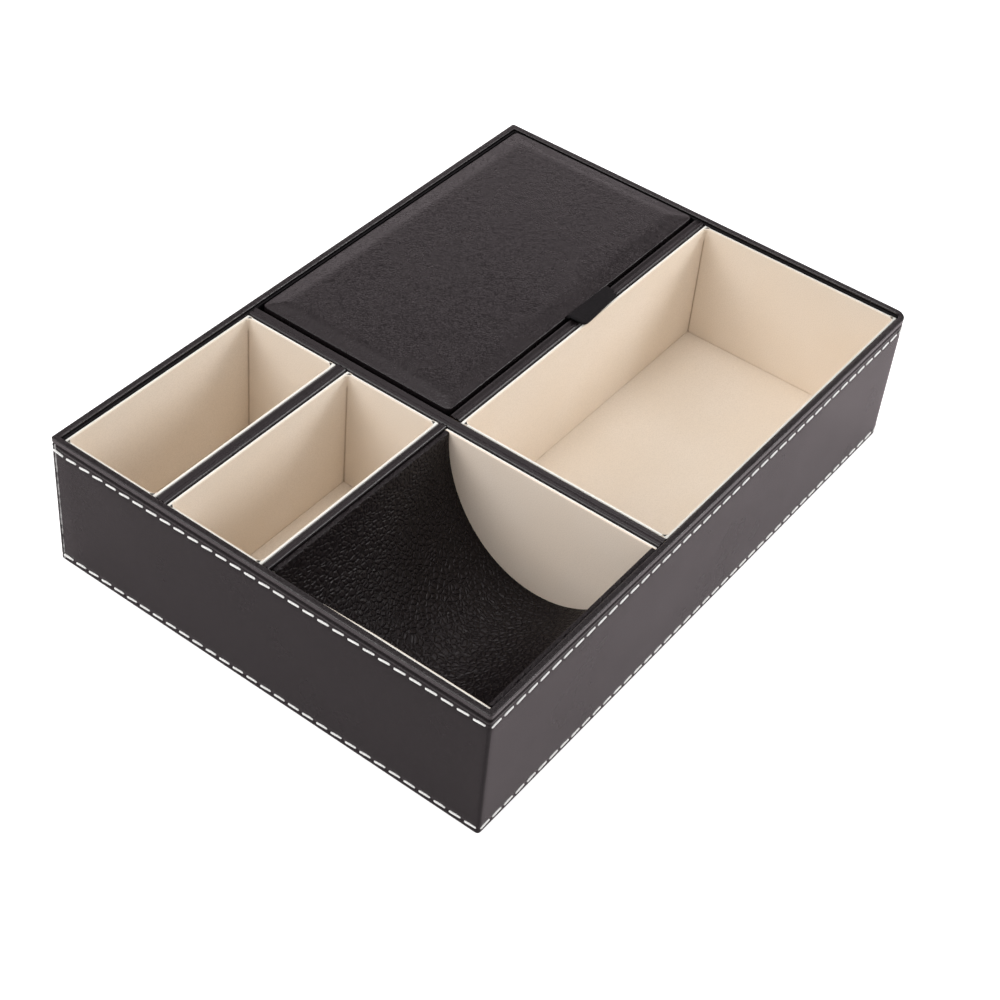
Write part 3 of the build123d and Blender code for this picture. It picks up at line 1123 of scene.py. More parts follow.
@dataclass
class DividerCaps:
    """The leather folded over the four dividers: two soft ridges with a crease between them."""

    names: tuple = ("cross_divider", "tray_divider", "scoop_divider", "slot_divider")
    thickness: float = 0.6 * MM
    side_gap: float = 0.25 * MM
    ridge_share: float = 0.48
    ridge_rise: float = 0.15 * MM
    shoulder_drop: float = 1.8 * MM
    shoulder_steps: int = 6
    crease_share: float = 0.2
    crease_steps: int = 10
    step: float = 2.0 * MM

    def section(self, block: Block, across: int) -> Loop:
        """The cap's closed section, standing on its middle line's top.

        Args:
            block: The cap's box.
            across: The axis that the cap's thickness lies along.

        Returns:
            Points with the distance from the middle as X and the depth below the top as Y.
        """
        half, depth = block.size[across] / 2 - self.side_gap, block.size.z
        ridge, crease = half * self.ridge_share, half * self.crease_share
        shoulder, inner, under = half - ridge, half - self.thickness, self.thickness + crease
        points = [(-half, depth)]
        for angle in angles(180, 90, self.shoulder_steps):
            points.append((-ridge + shoulder * math.cos(angle), self.shoulder_drop * (1 - math.sin(angle))))
        for x in evenly(-ridge, ridge, self.crease_steps)[1:-1]:
            points.append((x, crease * (0.5 + 0.5 * math.cos(math.pi * x / ridge))))
        for angle in angles(90, 0, self.shoulder_steps):
            points.append((ridge + shoulder * math.cos(angle), self.shoulder_drop * (1 - math.sin(angle))))
        points += [(half, depth), (inner, depth), (inner, under), (-inner, under), (-inner, depth)]
        return [Vector((x, y, 0)) for x, y in points]

    def build(self, palette: Palette) -> None:
        """Make the four caps.

        Args:
            palette: The finishes.
        """
        for divider in self.names:
            node = f"{divider}_leather"
            block = Block.of(node)
            along, across = (Y, X) if block.size.y > block.size.x else (X, Y)
            start, end = block.middle, block.middle
            start[along], end[along] = block.low[along], block.high[along]
            start.z = end.z = block.high.z + self.ridge_rise
            section = wire(f"{divider}_section", self.section(block, across), closed=True)
            values = {"Section": section, "Step": self.step, "Material": palette.trim}
            path = wire(f"{divider}_path", [start, end], closed=False)
            cap = bake(f"{divider}_cap", path, FOLDED_CAP, values)
            bpy.data.objects.remove(section)
            dress(cap, palette.trim, Body.TRAY, [node])


@dataclass(frozen=True)
class SuedeCard:
    """One suede-covered card: thin along one axis, swept along its run, rounded all round."""

    block: Block
    thin: int
    run: int
    inward: int
    seed: float
    thickness: float = 1.2 * MM
    edge_round: float = 0.4 * MM
    bow: float = 0.12 * MM
    bows_per_metre: float = 22.0
    corner_round: float = 1.6 * MM
    corner_depth: float = 6.0 * MM
    seam_shade_reach: float = 0.55 * MM
    bare_edge: float = 0.15 * MM
    taper: float = 0.0
    taper_drop: float = 2.0 * MM
    step: float = 4.0 * MM
    end_steps: tuple = (0.0, 0.3 * MM, 0.7 * MM, 1.1 * MM, 1.6 * MM, 2.4 * MM)

    @classmethod
    def of(cls, node: str, inside: Vector, **changes: float) -> "SuedeCard":
        """The card in a CAD card's place, swept along its longer level side.

        Args:
            node: The CAD card.
            inside: The middle of the compartment that it faces.
            **changes: Sizes that differ from the usual ones.

        Returns:
            The card.
        """
        block = Block.of(node)
        thin = min((X, Y, Z), key=lambda axis: block.size[axis])
        run = max((axis for axis in (X, Y) if axis != thin), key=lambda axis: block.size[axis])
        inward = 1 if inside[thin] > block.middle[thin] else -1
        seed = sum(ord(letter) for letter in node) % 97 / 7
        return cls(block, thin, run, inward, seed, **changes)

    @property
    def wide(self) -> int:
        """The third axis: up for a standing card."""
        return X + Y + Z - self.thin - self.run

    def stations(self) -> list[float]:
        """Places along the card, close together at its ends.

        Returns:
            The places in order.
        """
        low, high = self.block.low[self.run], self.block.high[self.run]
        inner_low, inner_high = low + self.end_steps[-1], high - self.end_steps[-1]
        steps = max(2, round((inner_high - inner_low) / self.step))
        found = [low + reach for reach in self.end_steps]
        found += evenly(inner_low, inner_high, steps)[1:-1]
        return found + [high - reach for reach in reversed(self.end_steps)]

    def sink(self, along: float) -> float:
        """How far a tapered card's top lies below its full height, at a place along it."""
        left = self.block.high[self.run] - along
        return self.taper_drop * clamp(1 - left / self.taper) if self.taper else 0.0

    def from_end(self, along: float) -> float:
        """How far a place lies from the card's seen end.

        Args:
            along: The place on the card's run.

        Returns:
            The distance. The cards along X run past the cards along Y, which hide their ends.
        """
        hidden = self.thickness if self.run == X and self.thin == Y else 0.0
        return min(along - self.block.low[self.run], self.block.high[self.run] - along) - hidden

    def ring(self) -> list[tuple[float, float]]:
        """The card's closed section with rounded edges.

        Returns:
            Points with the distance from its middle along the thin and the wide axis.
        """
        half_thin, half_wide = self.block.size[self.thin] / 2, self.block.size[self.wide] / 2
        radius = min(self.edge_round, half_thin * 0.8)
        flat = half_wide - radius
        first, least = 0.97 * flat, 0.3 * flat
        inner_rows = [first, flat - self.corner_depth / 2, flat - self.corner_depth]
        rows = [row for row in inner_rows if row > least] + [0.0]
        rows += [-row for row in reversed(rows[:-1])]
        points = []
        for number, (a, b) in enumerate(((-1, 1), (1, 1), (1, -1), (-1, -1))):
            for angle in angles(180 - 90 * number, 90 - 90 * number, 3):
                u, v = radius * math.cos(angle), radius * math.sin(angle)
                points.append((a * (half_thin - radius) + u, b * flat + v))
            if number == 1:
                points += [(half_thin, row) for row in rows]
            if number == 3:
                points += [(-half_thin, row) for row in reversed(rows)]
        return points

    def loop(self, along: float) -> Loop:
        """One section of the card, bowed, tapered and rounded into the compartment's corners.

        Args:
            along: Its place on the card's run.

        Returns:
            The section's points.
        """
        half_wide = self.block.size[self.wide] / 2
        gone = min(max(self.corner_round - self.from_end(along), 0.0), self.corner_round)
        filled = self.corner_round - math.sqrt(self.corner_round**2 - gone**2)
        loop = []
        for u, v in self.ring():
            spot = self.block.middle
            spot[self.run] = along
            spot[self.wide] += v
            spot[self.thin] += u
            swell = wobble(spot, self.bows_per_metre, self.seed)
            spot[self.thin] += self.bow * (1 - (v / half_wide) ** 2) * swell
            upper = clamp(1 - (half_wide - v) / self.corner_depth)
            if self.thin != Z:
                spot.z -= self.sink(along) * upper
                if u * self.inward > 0:
                    spot[self.thin] += self.inward * upper * filled
            loop.append(spot)
        return loop

    def on_edge(self, spot: Vector) -> float:
        """Where the cut edge shows: the outer part of a standing card's top edge.

        Args:
            spot: A place on the card.

        Returns:
            1 there and 0 elsewhere, with a soft line between.
        """
        level = self.block.high.z - self.sink(spot[self.run])
        if self.thin == Z or spot.z < level - self.edge_round * 1.1:
            return 0.0
        inset = (spot[self.thin] - self.block.middle[self.thin]) * self.inward
        return clamp(0.5 + (self.bare_edge - inset) / self.edge_round)

    def on_seam_shade(self, spot: Vector) -> float:
        """Painted shade where the card meets the next one or, for a floor, any of the walls.

        Args:
            spot: A place on the card.

        Returns:
            1 there, and less away from it and near a standing card's top.
        """
        end, low, high = self.from_end(spot[self.run]), self.block.low, self.block.high
        if self.thin == Z:
            side = min(spot[self.wide] - low[self.wide], high[self.wide] - spot[self.wide])
            return max(bell(end, self.seam_shade_reach), bell(side, self.seam_shade_reach))
        return bell(max(end, 0.0), self.seam_shade_reach) * clamp((high.z - spot.z) / self.corner_depth)


@dataclass
class Linings:
    """The suede cards that line the compartments and close the scoop's ends."""

    rooms: tuple = ("rear_slot", "middle_slot", "tray", "bay")
    sides: tuple = ("floor", "front", "back", "left", "right")
    scoop_tapers: tuple = (("left", 42.0 * MM), ("right", 0.0))

    def line(self, node: str, card: SuedeCard, finish: bpy.types.Material) -> None:
        """Make one card.

        Args:
            node: The CAD card that it stands for.
            card: Its sizes and place.
            finish: Its suede.
        """
        name = node.replace("_lining", "_card")
        thing = skin(name, [card.loop(along) for along in card.stations()])
        paint(thing, "cut_edge", card.on_edge)
        # The seam mask is painted shade in the corners between cards.
        paint(thing, "seam", card.on_seam_shade)
        dress(thing, finish, Body.TRAY, [node])

    def build(self, palette: Palette) -> None:
        """Line every compartment.

        Args:
            palette: The finishes.
        """
        for room in self.rooms:
            nodes = [f"{room}_{side}_lining" for side in self.sides]
            inside = Block.of(*nodes).middle
            for node in nodes:
                self.line(node, SuedeCard.of(node, inside), palette.suede)
        inside = Block.of("scoop_left_lining", "scoop_right_lining").middle
        for side, taper in self.scoop_tapers:
            node = f"scoop_{side}_lining"
            card = SuedeCard.of(node, inside, corner_round=0.0, taper=taper)
            # The scoop's right card takes the brighter copy of the suede: painted light.
            self.line(node, card, palette.pale if side == "right" else palette.suede)


@dataclass
class CoinScoop:
    """The scoop's leather, bent as half an ellipse and turned over its card's top edges."""

    card: float = 1.2 * MM
    leather: float = 0.6 * MM
    turn: float = 0.5 * MM
    lip_round: float = 0.2 * MM
    lip_steps: int = 4
    swell: float = 0.12 * MM
    swells_per_metre: float = 30.0
    swell_seed: float = 7.7
    steps: int = 64
    step: float = 2.2 * MM

    def __post_init__(self) -> None:
        """Read the trough's place from the frame."""
        self.block = Block.of("scoop_leather")
        self.top = self.block.high.z
        self.depth = self.top - Block.of("scoop_card").low.z

    def face(self, lift: float, level: float) -> list[tuple[float, float]]:
        """The trough's line at a height over the card's underside.

        Args:
            lift: How far above the underside.
            level: The level at which it starts and ends.

        Returns:
            Points from the front to the back.
        """
        reach, depth, middle = self.block.size.y / 2 - lift, self.depth - lift, self.block.middle.y
        start = math.asin((self.top - level) / depth)
        points = []
        for angle in evenly(start, math.pi - start, self.steps):
            points.append((middle - reach * math.cos(angle), self.top - depth * math.sin(angle)))
        return points

    def section(self) -> list[tuple[float, float]]:
        """The leather's closed section, with a lip over the card at the front and the back.

        Returns:
            Its points, which start with those of the upper face.
        """
        top, card_top, rounded = self.top, self.top - self.leather, self.lip_round
        upper = self.face(self.card + self.leather, top - self.turn)
        lower = self.face(self.card, card_top)
        lips = []
        for end, outer, sign in ((upper[-1][0], self.block.high.y, 1), (upper[0][0], self.block.low.y, -1)):
            lip = []
            for angle in angles(0, 90, self.lip_steps)[1:]:
                y = end + sign * self.turn * (1 - math.cos(angle))
                lip.append((y, top - self.turn + self.turn * math.sin(angle)))
            lips.append(lip + [(outer - sign * rounded, top), (outer, top - rounded), (outer, card_top)])
        return upper + lips[0] + lower[::-1] + lips[1][::-1]

    def build(self, palette: Palette) -> None:
        """Make the scoop's leather.

        Args:
            palette: The finishes.
        """
        section, low, high = self.section(), self.block.low.x, self.block.high.x
        loops = []
        for x in evenly(low, high, round((high - low) / self.step)):
            loop = [Vector((x, y, z)) for y, z in section]
            for spot in loop[: self.steps + 1]:
                spot.z += self.swell * wobble(spot, self.swells_per_metre, self.swell_seed)
            loops.append(loop)
        dress(skin("scoop_skin", loops), palette.scoop, Body.TRAY, ["scoop_leather"])


@dataclass
class Tray:
    """The fixed box: skin, caps, linings, scoop and the base."""

    parts: tuple = (SideSkin, DividerCaps, Linings, CoinScoop)

    def build(self, palette: Palette) -> None:
        """Make the tray's pieces and finish the CAD pieces that stay.

        Args:
            palette: The finishes.
        """
        for part in self.parts:
            part().build(palette)
        self.finish_nodes(palette)

    def finish_nodes(self, palette: Palette) -> None:
        """Give the CAD pieces that stay their material.

        Args:
            palette: The finishes.
        """
        finishes = {"_board": palette.board, "scoop_card": palette.card}
        # The rim's inner band takes the band leather: painted shade.
        finishes |= {"rim_leather": palette.band, "base_cover": palette.felt}
        for name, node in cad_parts.items():
            for ending, material in finishes.items():
                if name.endswith(ending):
                    for slot in node.material_slots:
                        slot.material = material
                    LOG.info("%s: kept from CAD, in %s", name, material.name)


# The lid


@dataclass
class PaddedLid:
    """The lid's leather, drawn over thin foam on a board, and the suede card under it.

    The corner, the reaches and the shoulder shape the form that the foam then presses out.
    The caps limit how far it may move, and the edge hold how much of that is kept at the edge.
    """

    corner: float = 1.0 * MM
    least_corner: float = 0.3 * MM
    reach_right: float = 1.0 * MM
    reach_back: float = 0.3 * MM
    reach_front: float = 0.35 * MM
    start_rise: float = 0.3 * MM
    shoulder: float = 8.0 * MM
    shoulder_tail: float = 0.75 * MM
    edge_round: float = 0.7 * MM
    edge_drop: float = 0.4 * MM
    foot_round: float = 0.5 * MM
    cell: float = 2.0 * MM
    shoulder_rings: int = 14
    side_rings: int = 3
    crowding: float = 1.8
    edge_hold: float = 0.9
    cap: float = 0.5 * MM
    side_cap: float = 0.25 * MM
    scale: float = 10.0
    frames: int = 20
    pressure: float = 4.0
    underside_steps: int = 30
    underside_seed: float = 3.3

    def __post_init__(self) -> None:
        """Read the lid's place from the frame: its padding fills a little more of the opening."""
        cover = Block.of("lid_cover")
        low = cover.low - Vector((0, self.reach_front, 0))
        self.block = Block(low, cover.high + Vector((self.reach_right, self.reach_back, 0)))

    def ring(self, rim: Sequence[Vector], inset: float, level: float) -> Loop:
        """The rim's points carried out to a rounded rectangle.

        Args:
            rim: Points on the edge of the flat top, relative to the lid's middle.
            inset: How far inside the lid's outer face the ring lies.
            level: Its height.

        Returns:
            The ring's points.
        """
        half_x, half_y = (self.block.size[axis] / 2 - inset for axis in (X, Y))
        inner_x, inner_y = (max(abs(point[axis]) for point in rim) for axis in (X, Y))
        corner = max(self.corner - inset, self.least_corner)
        middle = self.block.middle
        points = []
        for point in rim:
            x, y = point.x * half_x / inner_x, point.y * half_y / inner_y
            over_x, over_y = abs(x) - (half_x - corner), abs(y) - (half_y - corner)
            if over_x > 0 and over_y > 0:
                reach = math.hypot(over_x, over_y)
                x = math.copysign(half_x - corner + corner * over_x / reach, x)
                y = math.copysign(half_y - corner + corner * over_y / reach, y)
            points.append(Vector((middle.x + x, middle.y + y, level)))
        return points

    def drop(self, inset: float) -> float:
        """How far the shoulder falls: a long soft tail and a tight round at the edge.

        Args:
            inset: The distance inside the lid's outer face.

        Returns:
            The fall from the flat top.
        """
        tail = self.shoulder_tail * (1 - inset / self.shoulder) ** 2
        near = clamp(1 - inset / self.edge_round)
        return tail + self.edge_drop * (1 - math.sqrt(1 - near**2))

    def sheet(self) -> tuple[Loop, list[Face], list[int]]:
        """The cover's flat top as a grid.

        Returns:
            Its vertices, its faces, and the vertex numbers of its border, anticlockwise.
        """
        middle, top = self.block.middle, self.block.high.z + self.start_rise
        flat_x, flat_y = (self.block.size[axis] / 2 - self.shoulder for axis in (X, Y))
        nx, ny = round(2 * flat_x / self.cell), round(2 * flat_y / self.cell)
        points, row = [], nx + 1
        for j in range(ny + 1):
            for i in range(row):
                x, y = flat_x * (2 * i / nx - 1), flat_y * (2 * j / ny - 1)
                points.append(Vector((middle.x + x, middle.y + y, top)))
        starts = [j * row + i for j in range(ny) for i in range(nx)]
        faces = [(start, start + 1, start + row + 1, start + row) for start in starts]
        border = list(range(row))
        border += [j * row + nx for j in range(1, ny + 1)]
        border += [ny * row + i for i in range(nx - 1, -1, -1)]
        border += [j * row for j in range(ny - 1, 0, -1)]
        return points, faces, border

    def fall(self) -> list[tuple[float, float]]:
        """The rings from the flat top's border down the shoulder and the side.

        Returns:
            Each ring's inset and level.
        """
        top, bottom = self.block.high.z + self.start_rise, self.block.low.z
        rings = []
        for i in range(1, self.shoulder_rings + 1):
            inset = self.shoulder * (1 - i / self.shoulder_rings) ** self.crowding
            rings.append((inset, top - self.drop(inset)))
        side_top = rings[-1][1]
        for i in range(1, self.side_rings + 1):
            rings.append((0.0, side_top - (side_top - bottom - self.foot_round) * i / self.side_rings))
        return rings + [(self.foot_round, bottom)]

    def form(self) -> tuple[Loop, list[Face], int]:
        """The cover before it is padded: a flat top, rounded shoulders, straight sides, a flat bottom.

        Returns:
            The vertices, the faces, and how many of the first vertices are free to move.
        """
        points, sheet, border = self.sheet()
        flat, faces, previous = len(points), list(sheet), border
        rim = [points[i] - self.block.middle for i in border]
        for inset, level in self.fall():
            ring = range(len(points), len(points) + len(border))
            points += self.ring(rim, inset, level)
            faces += join_rings(previous, ring)
            previous = ring
        start = len(points)
        points += [Vector((point.x, point.y, self.block.low.z)) for point in points[:flat]]
        faces += [tuple(start + i for i in reversed(face)) for face in sheet]
        faces += join_rings(previous, [start + i for i in border])
        return points, faces, flat + (self.shoulder_rings - 1) * len(border)

    def inflate(self, points: Loop, faces: Sequence[Face], free: int) -> Loop:
        """Let the foam press the leather up, with its lower part held.

        Args:
            points: The form's vertices.
            faces: Its faces.
            free: How many of the first vertices may move.

        Returns:
            The vertices after the simulation, each moved by no more than the caps.
        """
        # The form is simulated enlarged, because the cloth solver is made for larger things.
        mesh = plain_mesh("padding", [point * self.scale for point in points], [], faces)
        face_outwards(mesh)
        model = linked("padding", mesh)
        held = model.vertex_groups.new(name="held")
        held.add(list(range(free, len(points))), 1.0, "REPLACE")
        cloth = model.modifiers.new("leather", "CLOTH")
        settings = cloth.settings
        settings.quality = 6
        settings.mass = 0.4
        settings.tension_stiffness = settings.compression_stiffness = 30
        settings.shear_stiffness = 12
        settings.bending_stiffness = 6
        settings.effector_weights.gravity = 0
        settings.use_pressure = True
        settings.uniform_pressure_force = self.pressure
        settings.vertex_group_mass = held.name
        cloth.collision_settings.use_collision = False
        cloth.point_cache.frame_start, cloth.point_cache.frame_end = 1, self.frames
        scene = bpy.context.scene
        for number in range(1, self.frames + 1):
            scene.frame_set(number)
        graph = bpy.context.evaluated_depsgraph_get()
        result = model.evaluated_get(graph).to_mesh()
        moved = [vertex.co / self.scale for vertex in result.vertices]
        bpy.data.objects.remove(model)
        scene.frame_set(1)
        return [self.eased(before, pressed - before) for before, pressed in zip(points, moved)]

    def eased(self, place: Vector, shift: Vector) -> Vector:
        """A vertex's place once it is pressed out.

        Args:
            place: Its place on the form.
            shift: How far the simulation moved it.

        Returns:
            Its place after a shift that is held under the caps and fades out at the lid's edge.
        """
        level = Vector((shift.x, shift.y, 0))
        if level.length > self.side_cap:
            level *= self.side_cap / level.length
        shift = level + Vector((0, 0, shift.z))
        if shift.length > self.cap:
            shift *= self.cap / shift.length
        size, middle = self.block.size, self.block.middle
        inset = min(size[axis] / 2 - abs(place[axis] - middle[axis]) for axis in (X, Y))
        return place + shift * (1 - self.edge_hold * clamp(1 - inset / self.shoulder))

    def build(self, palette: Palette) -> None:
        """Make the padded cover and the suede card under it.

        Args:
            palette: The finishes.
        """
        points, faces, free = self.form()
        points = self.inflate(points, faces, free)
        peak = max(point.z for point in points)
        LOG.info("lid crown: the padding stands %.2f mm over its CAD box", (peak - self.block.high.z) / MM)
        cover = mesh_object("lid_padding", points, faces)
        smooth = cover.modifiers.new("even", "SUBSURF")
        smooth.levels = smooth.render_levels = 1
        graph = bpy.context.evaluated_depsgraph_get()
        cover.data = bpy.data.meshes.new_from_object(cover.evaluated_get(graph), depsgraph=graph)
        cover.modifiers.clear()
        dress(cover, palette.lid, Body.LID, ["lid_cover", "lid_pad"])
        self.line(palette)

    def line(self, palette: Palette) -> None:
        """Close the lid's underside with its suede card.

        Args:
            palette: The finishes.
        """
        block = Block.of("lid_lining")
        card = SuedeCard(block, thin=Z, run=X, inward=-1, seed=self.underside_seed)
        places = evenly(block.low.x, block.high.x, self.underside_steps)
        underside = skin("lid_underside", [card.loop(x) for x in places])
        dress(underside, palette.suede, Body.LID, ["lid_lining"])


@dataclass
class PullTab:
    """The leather tab on the lid's front, folded over the divider, its left end a little lifted."""

    thickness: float = 0.7 * MM
    shift: float = -2.5 * MM
    bend: float = 0.9 * MM
    left_lift: float = 0.45 * MM
    right_sag: float = 1.0 * MM
    lift_at_bend: float = 0.4
    tip_reach: float = 0.5 * MM
    tip_slant: float = 2.7 * MM
    corner: float = 0.8 * MM
    corner_share: float = 0.04
    bend_steps: int = 4
    top_steps: int = 6
    steps: int = 18

    def loop(self, block: Block, share: float) -> Loop:
        """One closed section, from the lid's side over the bend to the tip and back inside.

        Args:
            block: The tab's box.
            share: How far along the tab it lies, from 0 at its left end to 1.

        Returns:
            The section's points.
        """
        root, low, level = block.high.y, block.low.z, block.high.z - self.thickness
        x = block.low.x + block.size.x * share + self.shift
        lift = self.left_lift * (1 - share) ** 3 - self.right_sag * share**1.6
        corner = self.corner * (bell(share, self.corner_share) + bell(1 - share, self.corner_share))
        tip = block.low.y - self.tip_reach + self.tip_slant * share**1.2 + corner
        inside, spring = root - self.thickness, level - self.bend
        outer = [Vector((x, root, z)) for z in (low, (low + level) / 2, spring)]
        inner = [Vector((x, inside, z)) for z in (low, (low + level) / 2, spring)]
        rise = self.thickness + self.bend + lift * self.lift_at_bend
        for angle in angles(0, 90, self.bend_steps)[1:]:
            y = root - self.thickness * (1 - math.cos(angle))
            outer.append(Vector((x, y, spring + rise * math.sin(angle))))
        for reach in evenly(0.0, 1.0, self.top_steps)[1:]:
            y = inside - (inside - tip) * reach
            wave = lift * (self.lift_at_bend + (1 - self.lift_at_bend) * math.sin(math.pi / 2 * reach))
            outer.append(Vector((x, y, level + self.thickness + wave)))
            inner.append(Vector((x, y, level + wave)))
        return outer + inner[::-1]

    def build(self, palette: Palette) -> None:
        """Make the tab.

        Args:
            palette: The finishes.
        """
        block = Block.of("lid_tab")
        tab = skin("pull_tab", [self.loop(block, share) for share in evenly(0.0, 1.0, self.steps)])
        # The tab takes the band leather, the darker copy made as painted shade.
        dress(tab, palette.band, Body.LID, ["lid_tab"])


@dataclass
class StripHinge:
    """The leather strip that runs down the wall, folds over the gap and holds the lid."""

    thickness: float = 0.5 * MM
    step: float = 3.0 * MM
    fold_steps: int = 8

    def build(self, palette: Palette) -> None:
        """Make the strip and bend it between the tray and the lid.

        Args:
            palette: The finishes.
        """
        wall, leaf = Block.of("hinge_wall_leaf"), Block.of("hinge_lid_leaf")
        outside, middle = (wall.high.y - leaf.low.y) / 2, (wall.high.y + leaf.low.y) / 2
        inside = outside - self.thickness
        spring = wall.high.z - outside
        outer = [(wall.high.y, wall.low.z), (wall.high.y, (wall.low.z + spring) / 2)]
        inner = [(wall.low.y, wall.low.z), (wall.low.y, (wall.low.z + spring) / 2)]
        for angle in angles(0, 180, self.fold_steps):
            outer.append((middle + outside * math.cos(angle), spring + outside * math.sin(angle)))
            inner.append((middle + inside * math.cos(angle), spring + inside * math.sin(angle)))
        outer += [(leaf.low.y, (leaf.low.z + spring) / 2), (leaf.low.y, leaf.low.z)]
        inner += [(leaf.high.y, (leaf.low.z + spring) / 2), (leaf.high.y, leaf.low.z)]
        section = outer + inner[::-1]
        places = evenly(wall.low.x, wall.high.x, round(wall.size.x / self.step))
        strip = skin("hinge_strip", [[Vector((x, y, z)) for y, z in section] for x in places])
        dress(strip, palette.trim, None, ["hinge_wall_leaf", "hinge_lid_leaf"])
        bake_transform(strip)


# The studio


@dataclass(frozen=True)
class Softbox:
    """One square lamp that points at the tray."""

    name: str
    place: Triple
    size: float
    watts: float
    aim: Triple = (0.0, 0.0, 0.03)

    def hang(self) -> None:
        """Make the lamp."""
        data = bpy.data.lights.new(self.name, "AREA")
        data.size, data.energy = self.size, self.watts
        light = linked(self.name, data)
        light.location = self.place
        light.rotation_euler = (Vector(self.place) - Vector(self.aim)).to_track_quat("Z", "Y").to_euler()


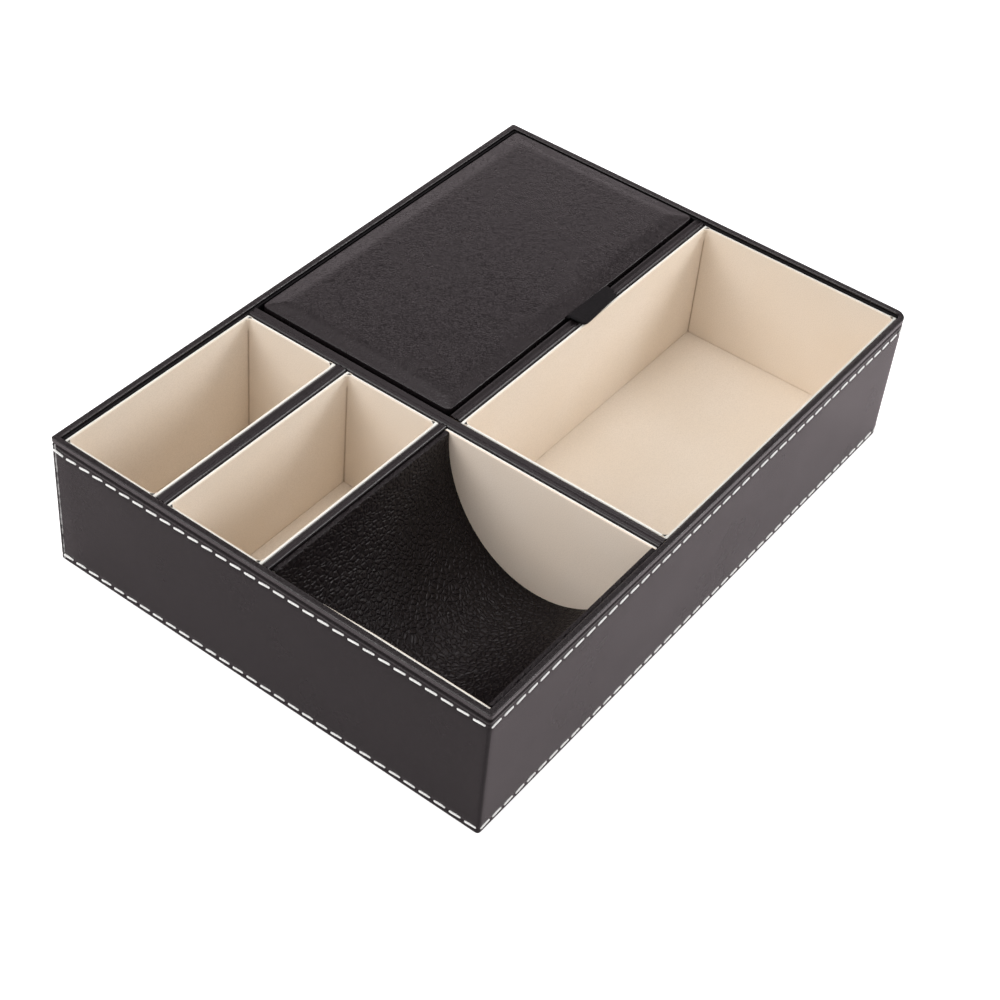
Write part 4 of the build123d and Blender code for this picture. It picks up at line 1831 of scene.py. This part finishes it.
@dataclass
class Studio:
    """Pale floor, soft lamps and the camera.

    Each layer of the sky that reflections see has the heights, as the sine of the elevation,
    between which it sets in, and its brightness at both.
    """

    azimuth: float = -56.184
    elevation: float = 42.141
    roll: float = -5.451
    distance: float = 801.68 * MM
    aim: tuple = (15.994 * MM, 17.96 * MM)
    focal_px: float = 2053.73
    centre_px: tuple = (480.0, 450.0)
    image_px: float = 1000.0
    sensor_mm: float = 36.0

    low_sky: tuple = (0.16, 0.36, 0.08, 2.0)
    gap_sky: tuple = (0.42, 0.60, 0.0, -1.92)
    high_sky: tuple = (0.725, 0.785, 0.0, 1.4)
    soft_strength: float = 0.62
    white: Colour = (1.0, 1.0, 1.0)
    tint: Colour = (1.0, 0.88, 0.915)
    matt: Colour = (0.80, 0.80, 0.80)
    matt_tint: Colour = (0.80, 0.70, 0.73)
    floor_glow: tuple = (0.42, 0.72)
    floor_reach: float = 3.0
    lamps: tuple = (
        Softbox("overhead", (0.1, 0.1, 1.4), 0.5, 4.0),
        Softbox("right_front", (0.72, -0.85, 0.53), 0.5, 6.4),
        Softbox("left_back", (-0.9, 0.4, 0.65), 0.6, 5.2),
    )

    def camera(self) -> None:
        """Make the camera at the photograph's viewing angle."""
        azimuth, elevation, roll = map(math.radians, (self.azimuth, self.elevation, self.roll))
        level = math.cos(elevation)
        back = Vector((math.sin(azimuth) * level, -math.cos(azimuth) * level, math.sin(elevation)))
        right = Vector((0, 0, 1)).cross(back).normalized()
        up = back.cross(right)
        rolled_right = right * math.cos(roll) - up * math.sin(roll)
        rolled_up = right * math.sin(roll) + up * math.cos(roll)
        data = bpy.data.cameras.new("camera")
        data.sensor_width = self.sensor_mm
        data.lens = self.focal_px / self.image_px * self.sensor_mm
        data.shift_x = (self.image_px / 2 - self.centre_px[0]) / self.image_px
        data.shift_y = (self.centre_px[1] - self.image_px / 2) / self.image_px
        data.clip_start, data.clip_end = 0.01, 20.0
        camera = linked("camera", data)
        turn = Matrix((rolled_right, rolled_up, back)).transposed()
        place = Vector((*self.aim, 0)) + back * self.distance
        camera.matrix_world = Matrix.Translation(place) @ turn.to_4x4()
        bpy.context.scene.camera = camera

    def seen_directly(self, graph: Graph) -> Socket:
        """1 for what the camera, a reflection or a transmission sees, and 0 for light itself.

        Args:
            graph: The tree to add it to.

        Returns:
            The mask.
        """
        rays = graph.add("ShaderNodeLightPath").outputs
        shiny = graph.math("MAXIMUM", rays["Is Glossy Ray"], rays["Is Transmission Ray"])
        return graph.math("MAXIMUM", rays["Is Camera Ray"], shiny)

    def world(self) -> None:
        """White behind the object, plain grey as light, and a low and a high bright band in reflections."""
        world = bpy.data.worlds.new("studio")
        bpy.context.scene.world = world
        world.use_nodes = True
        graph = Graph(world.node_tree)
        graph.tree.nodes.clear()
        soft = graph.add("ShaderNodeBackground", {"Color": rgba(self.white), "Strength": self.soft_strength})
        toward = graph.add("ShaderNodeTexCoord").outputs["Generated"]
        height = graph.add("ShaderNodeSeparateXYZ", {0: toward}).outputs["Z"]
        rays = graph.add("ShaderNodeLightPath").outputs
        low, gap, high = (graph.ramp(height, *layer) for layer in (self.low_sky, self.gap_sky, self.high_sky))
        sky = graph.math("ADD", graph.math("ADD", low, gap), high)
        shown = graph.ramp(rays["Is Camera Ray"], 0.0, 1.0, sky, 1.0)
        tint = graph.mix(rays["Is Camera Ray"], self.tint, self.white)
        bright = graph.add("ShaderNodeBackground", {"Color": tint, "Strength": shown})
        seen = self.seen_directly(graph)
        both = graph.add("ShaderNodeMixShader", {0: seen, 1: soft.outputs[0], 2: bright.outputs[0]})
        graph.add("ShaderNodeOutputWorld", {"Surface": both.outputs[0]})

    def floor(self) -> None:
        """A pale floor that keeps the object's shadow and shows nearly white."""
        reach = self.floor_reach
        corners = [(-reach, -reach, 0), (reach, -reach, 0), (reach, reach, 0), (-reach, reach, 0)]
        floor = linked("floor", plain_mesh("floor", corners, [], [(0, 1, 2, 3)]))
        material = bpy.data.materials.new("floor")
        material.use_nodes = True
        graph = Graph(material.node_tree)
        graph.tree.nodes.clear()
        rays = graph.add("ShaderNodeLightPath").outputs
        colour = graph.mix(rays["Is Glossy Ray"], self.matt, self.matt_tint)
        matt = graph.add("ShaderNodeBsdfDiffuse", {"Color": colour})
        strength = graph.ramp(rays["Is Camera Ray"], 0.0, 1.0, *self.floor_glow)
        tint = graph.mix(rays["Is Glossy Ray"], self.white, self.tint)
        glow = graph.add("ShaderNodeEmission", {"Color": tint, "Strength": strength})
        both = graph.add("ShaderNodeAddShader", {0: matt.outputs[0], 1: glow.outputs[0]})
        seen = self.seen_directly(graph)
        shown = graph.add("ShaderNodeMixShader", {0: seen, 1: matt.outputs[0], 2: both.outputs[0]})
        graph.add("ShaderNodeOutputMaterial", {"Surface": shown.outputs[0]})
        floor.data.materials.append(material)

    def build(self) -> None:
        """Make the whole studio."""
        self.camera()
        self.world()
        self.floor()
        for lamp in self.lamps:
            lamp.hang()
        bpy.context.scene.view_settings.view_transform = "Standard"


def main() -> None:
    """Build the tray, the lid and the studio, in that order."""
    logging.basicConfig(level=logging.INFO, format="%(relativeCreated)6.0f ms %(message)s")
    palette = Palette.build()
    for part in (Tray(), PaddedLid(), PullTab(), StripHinge()):
        part.build(palette)
    Studio().build()


if __name__ == "__main__":
    main()
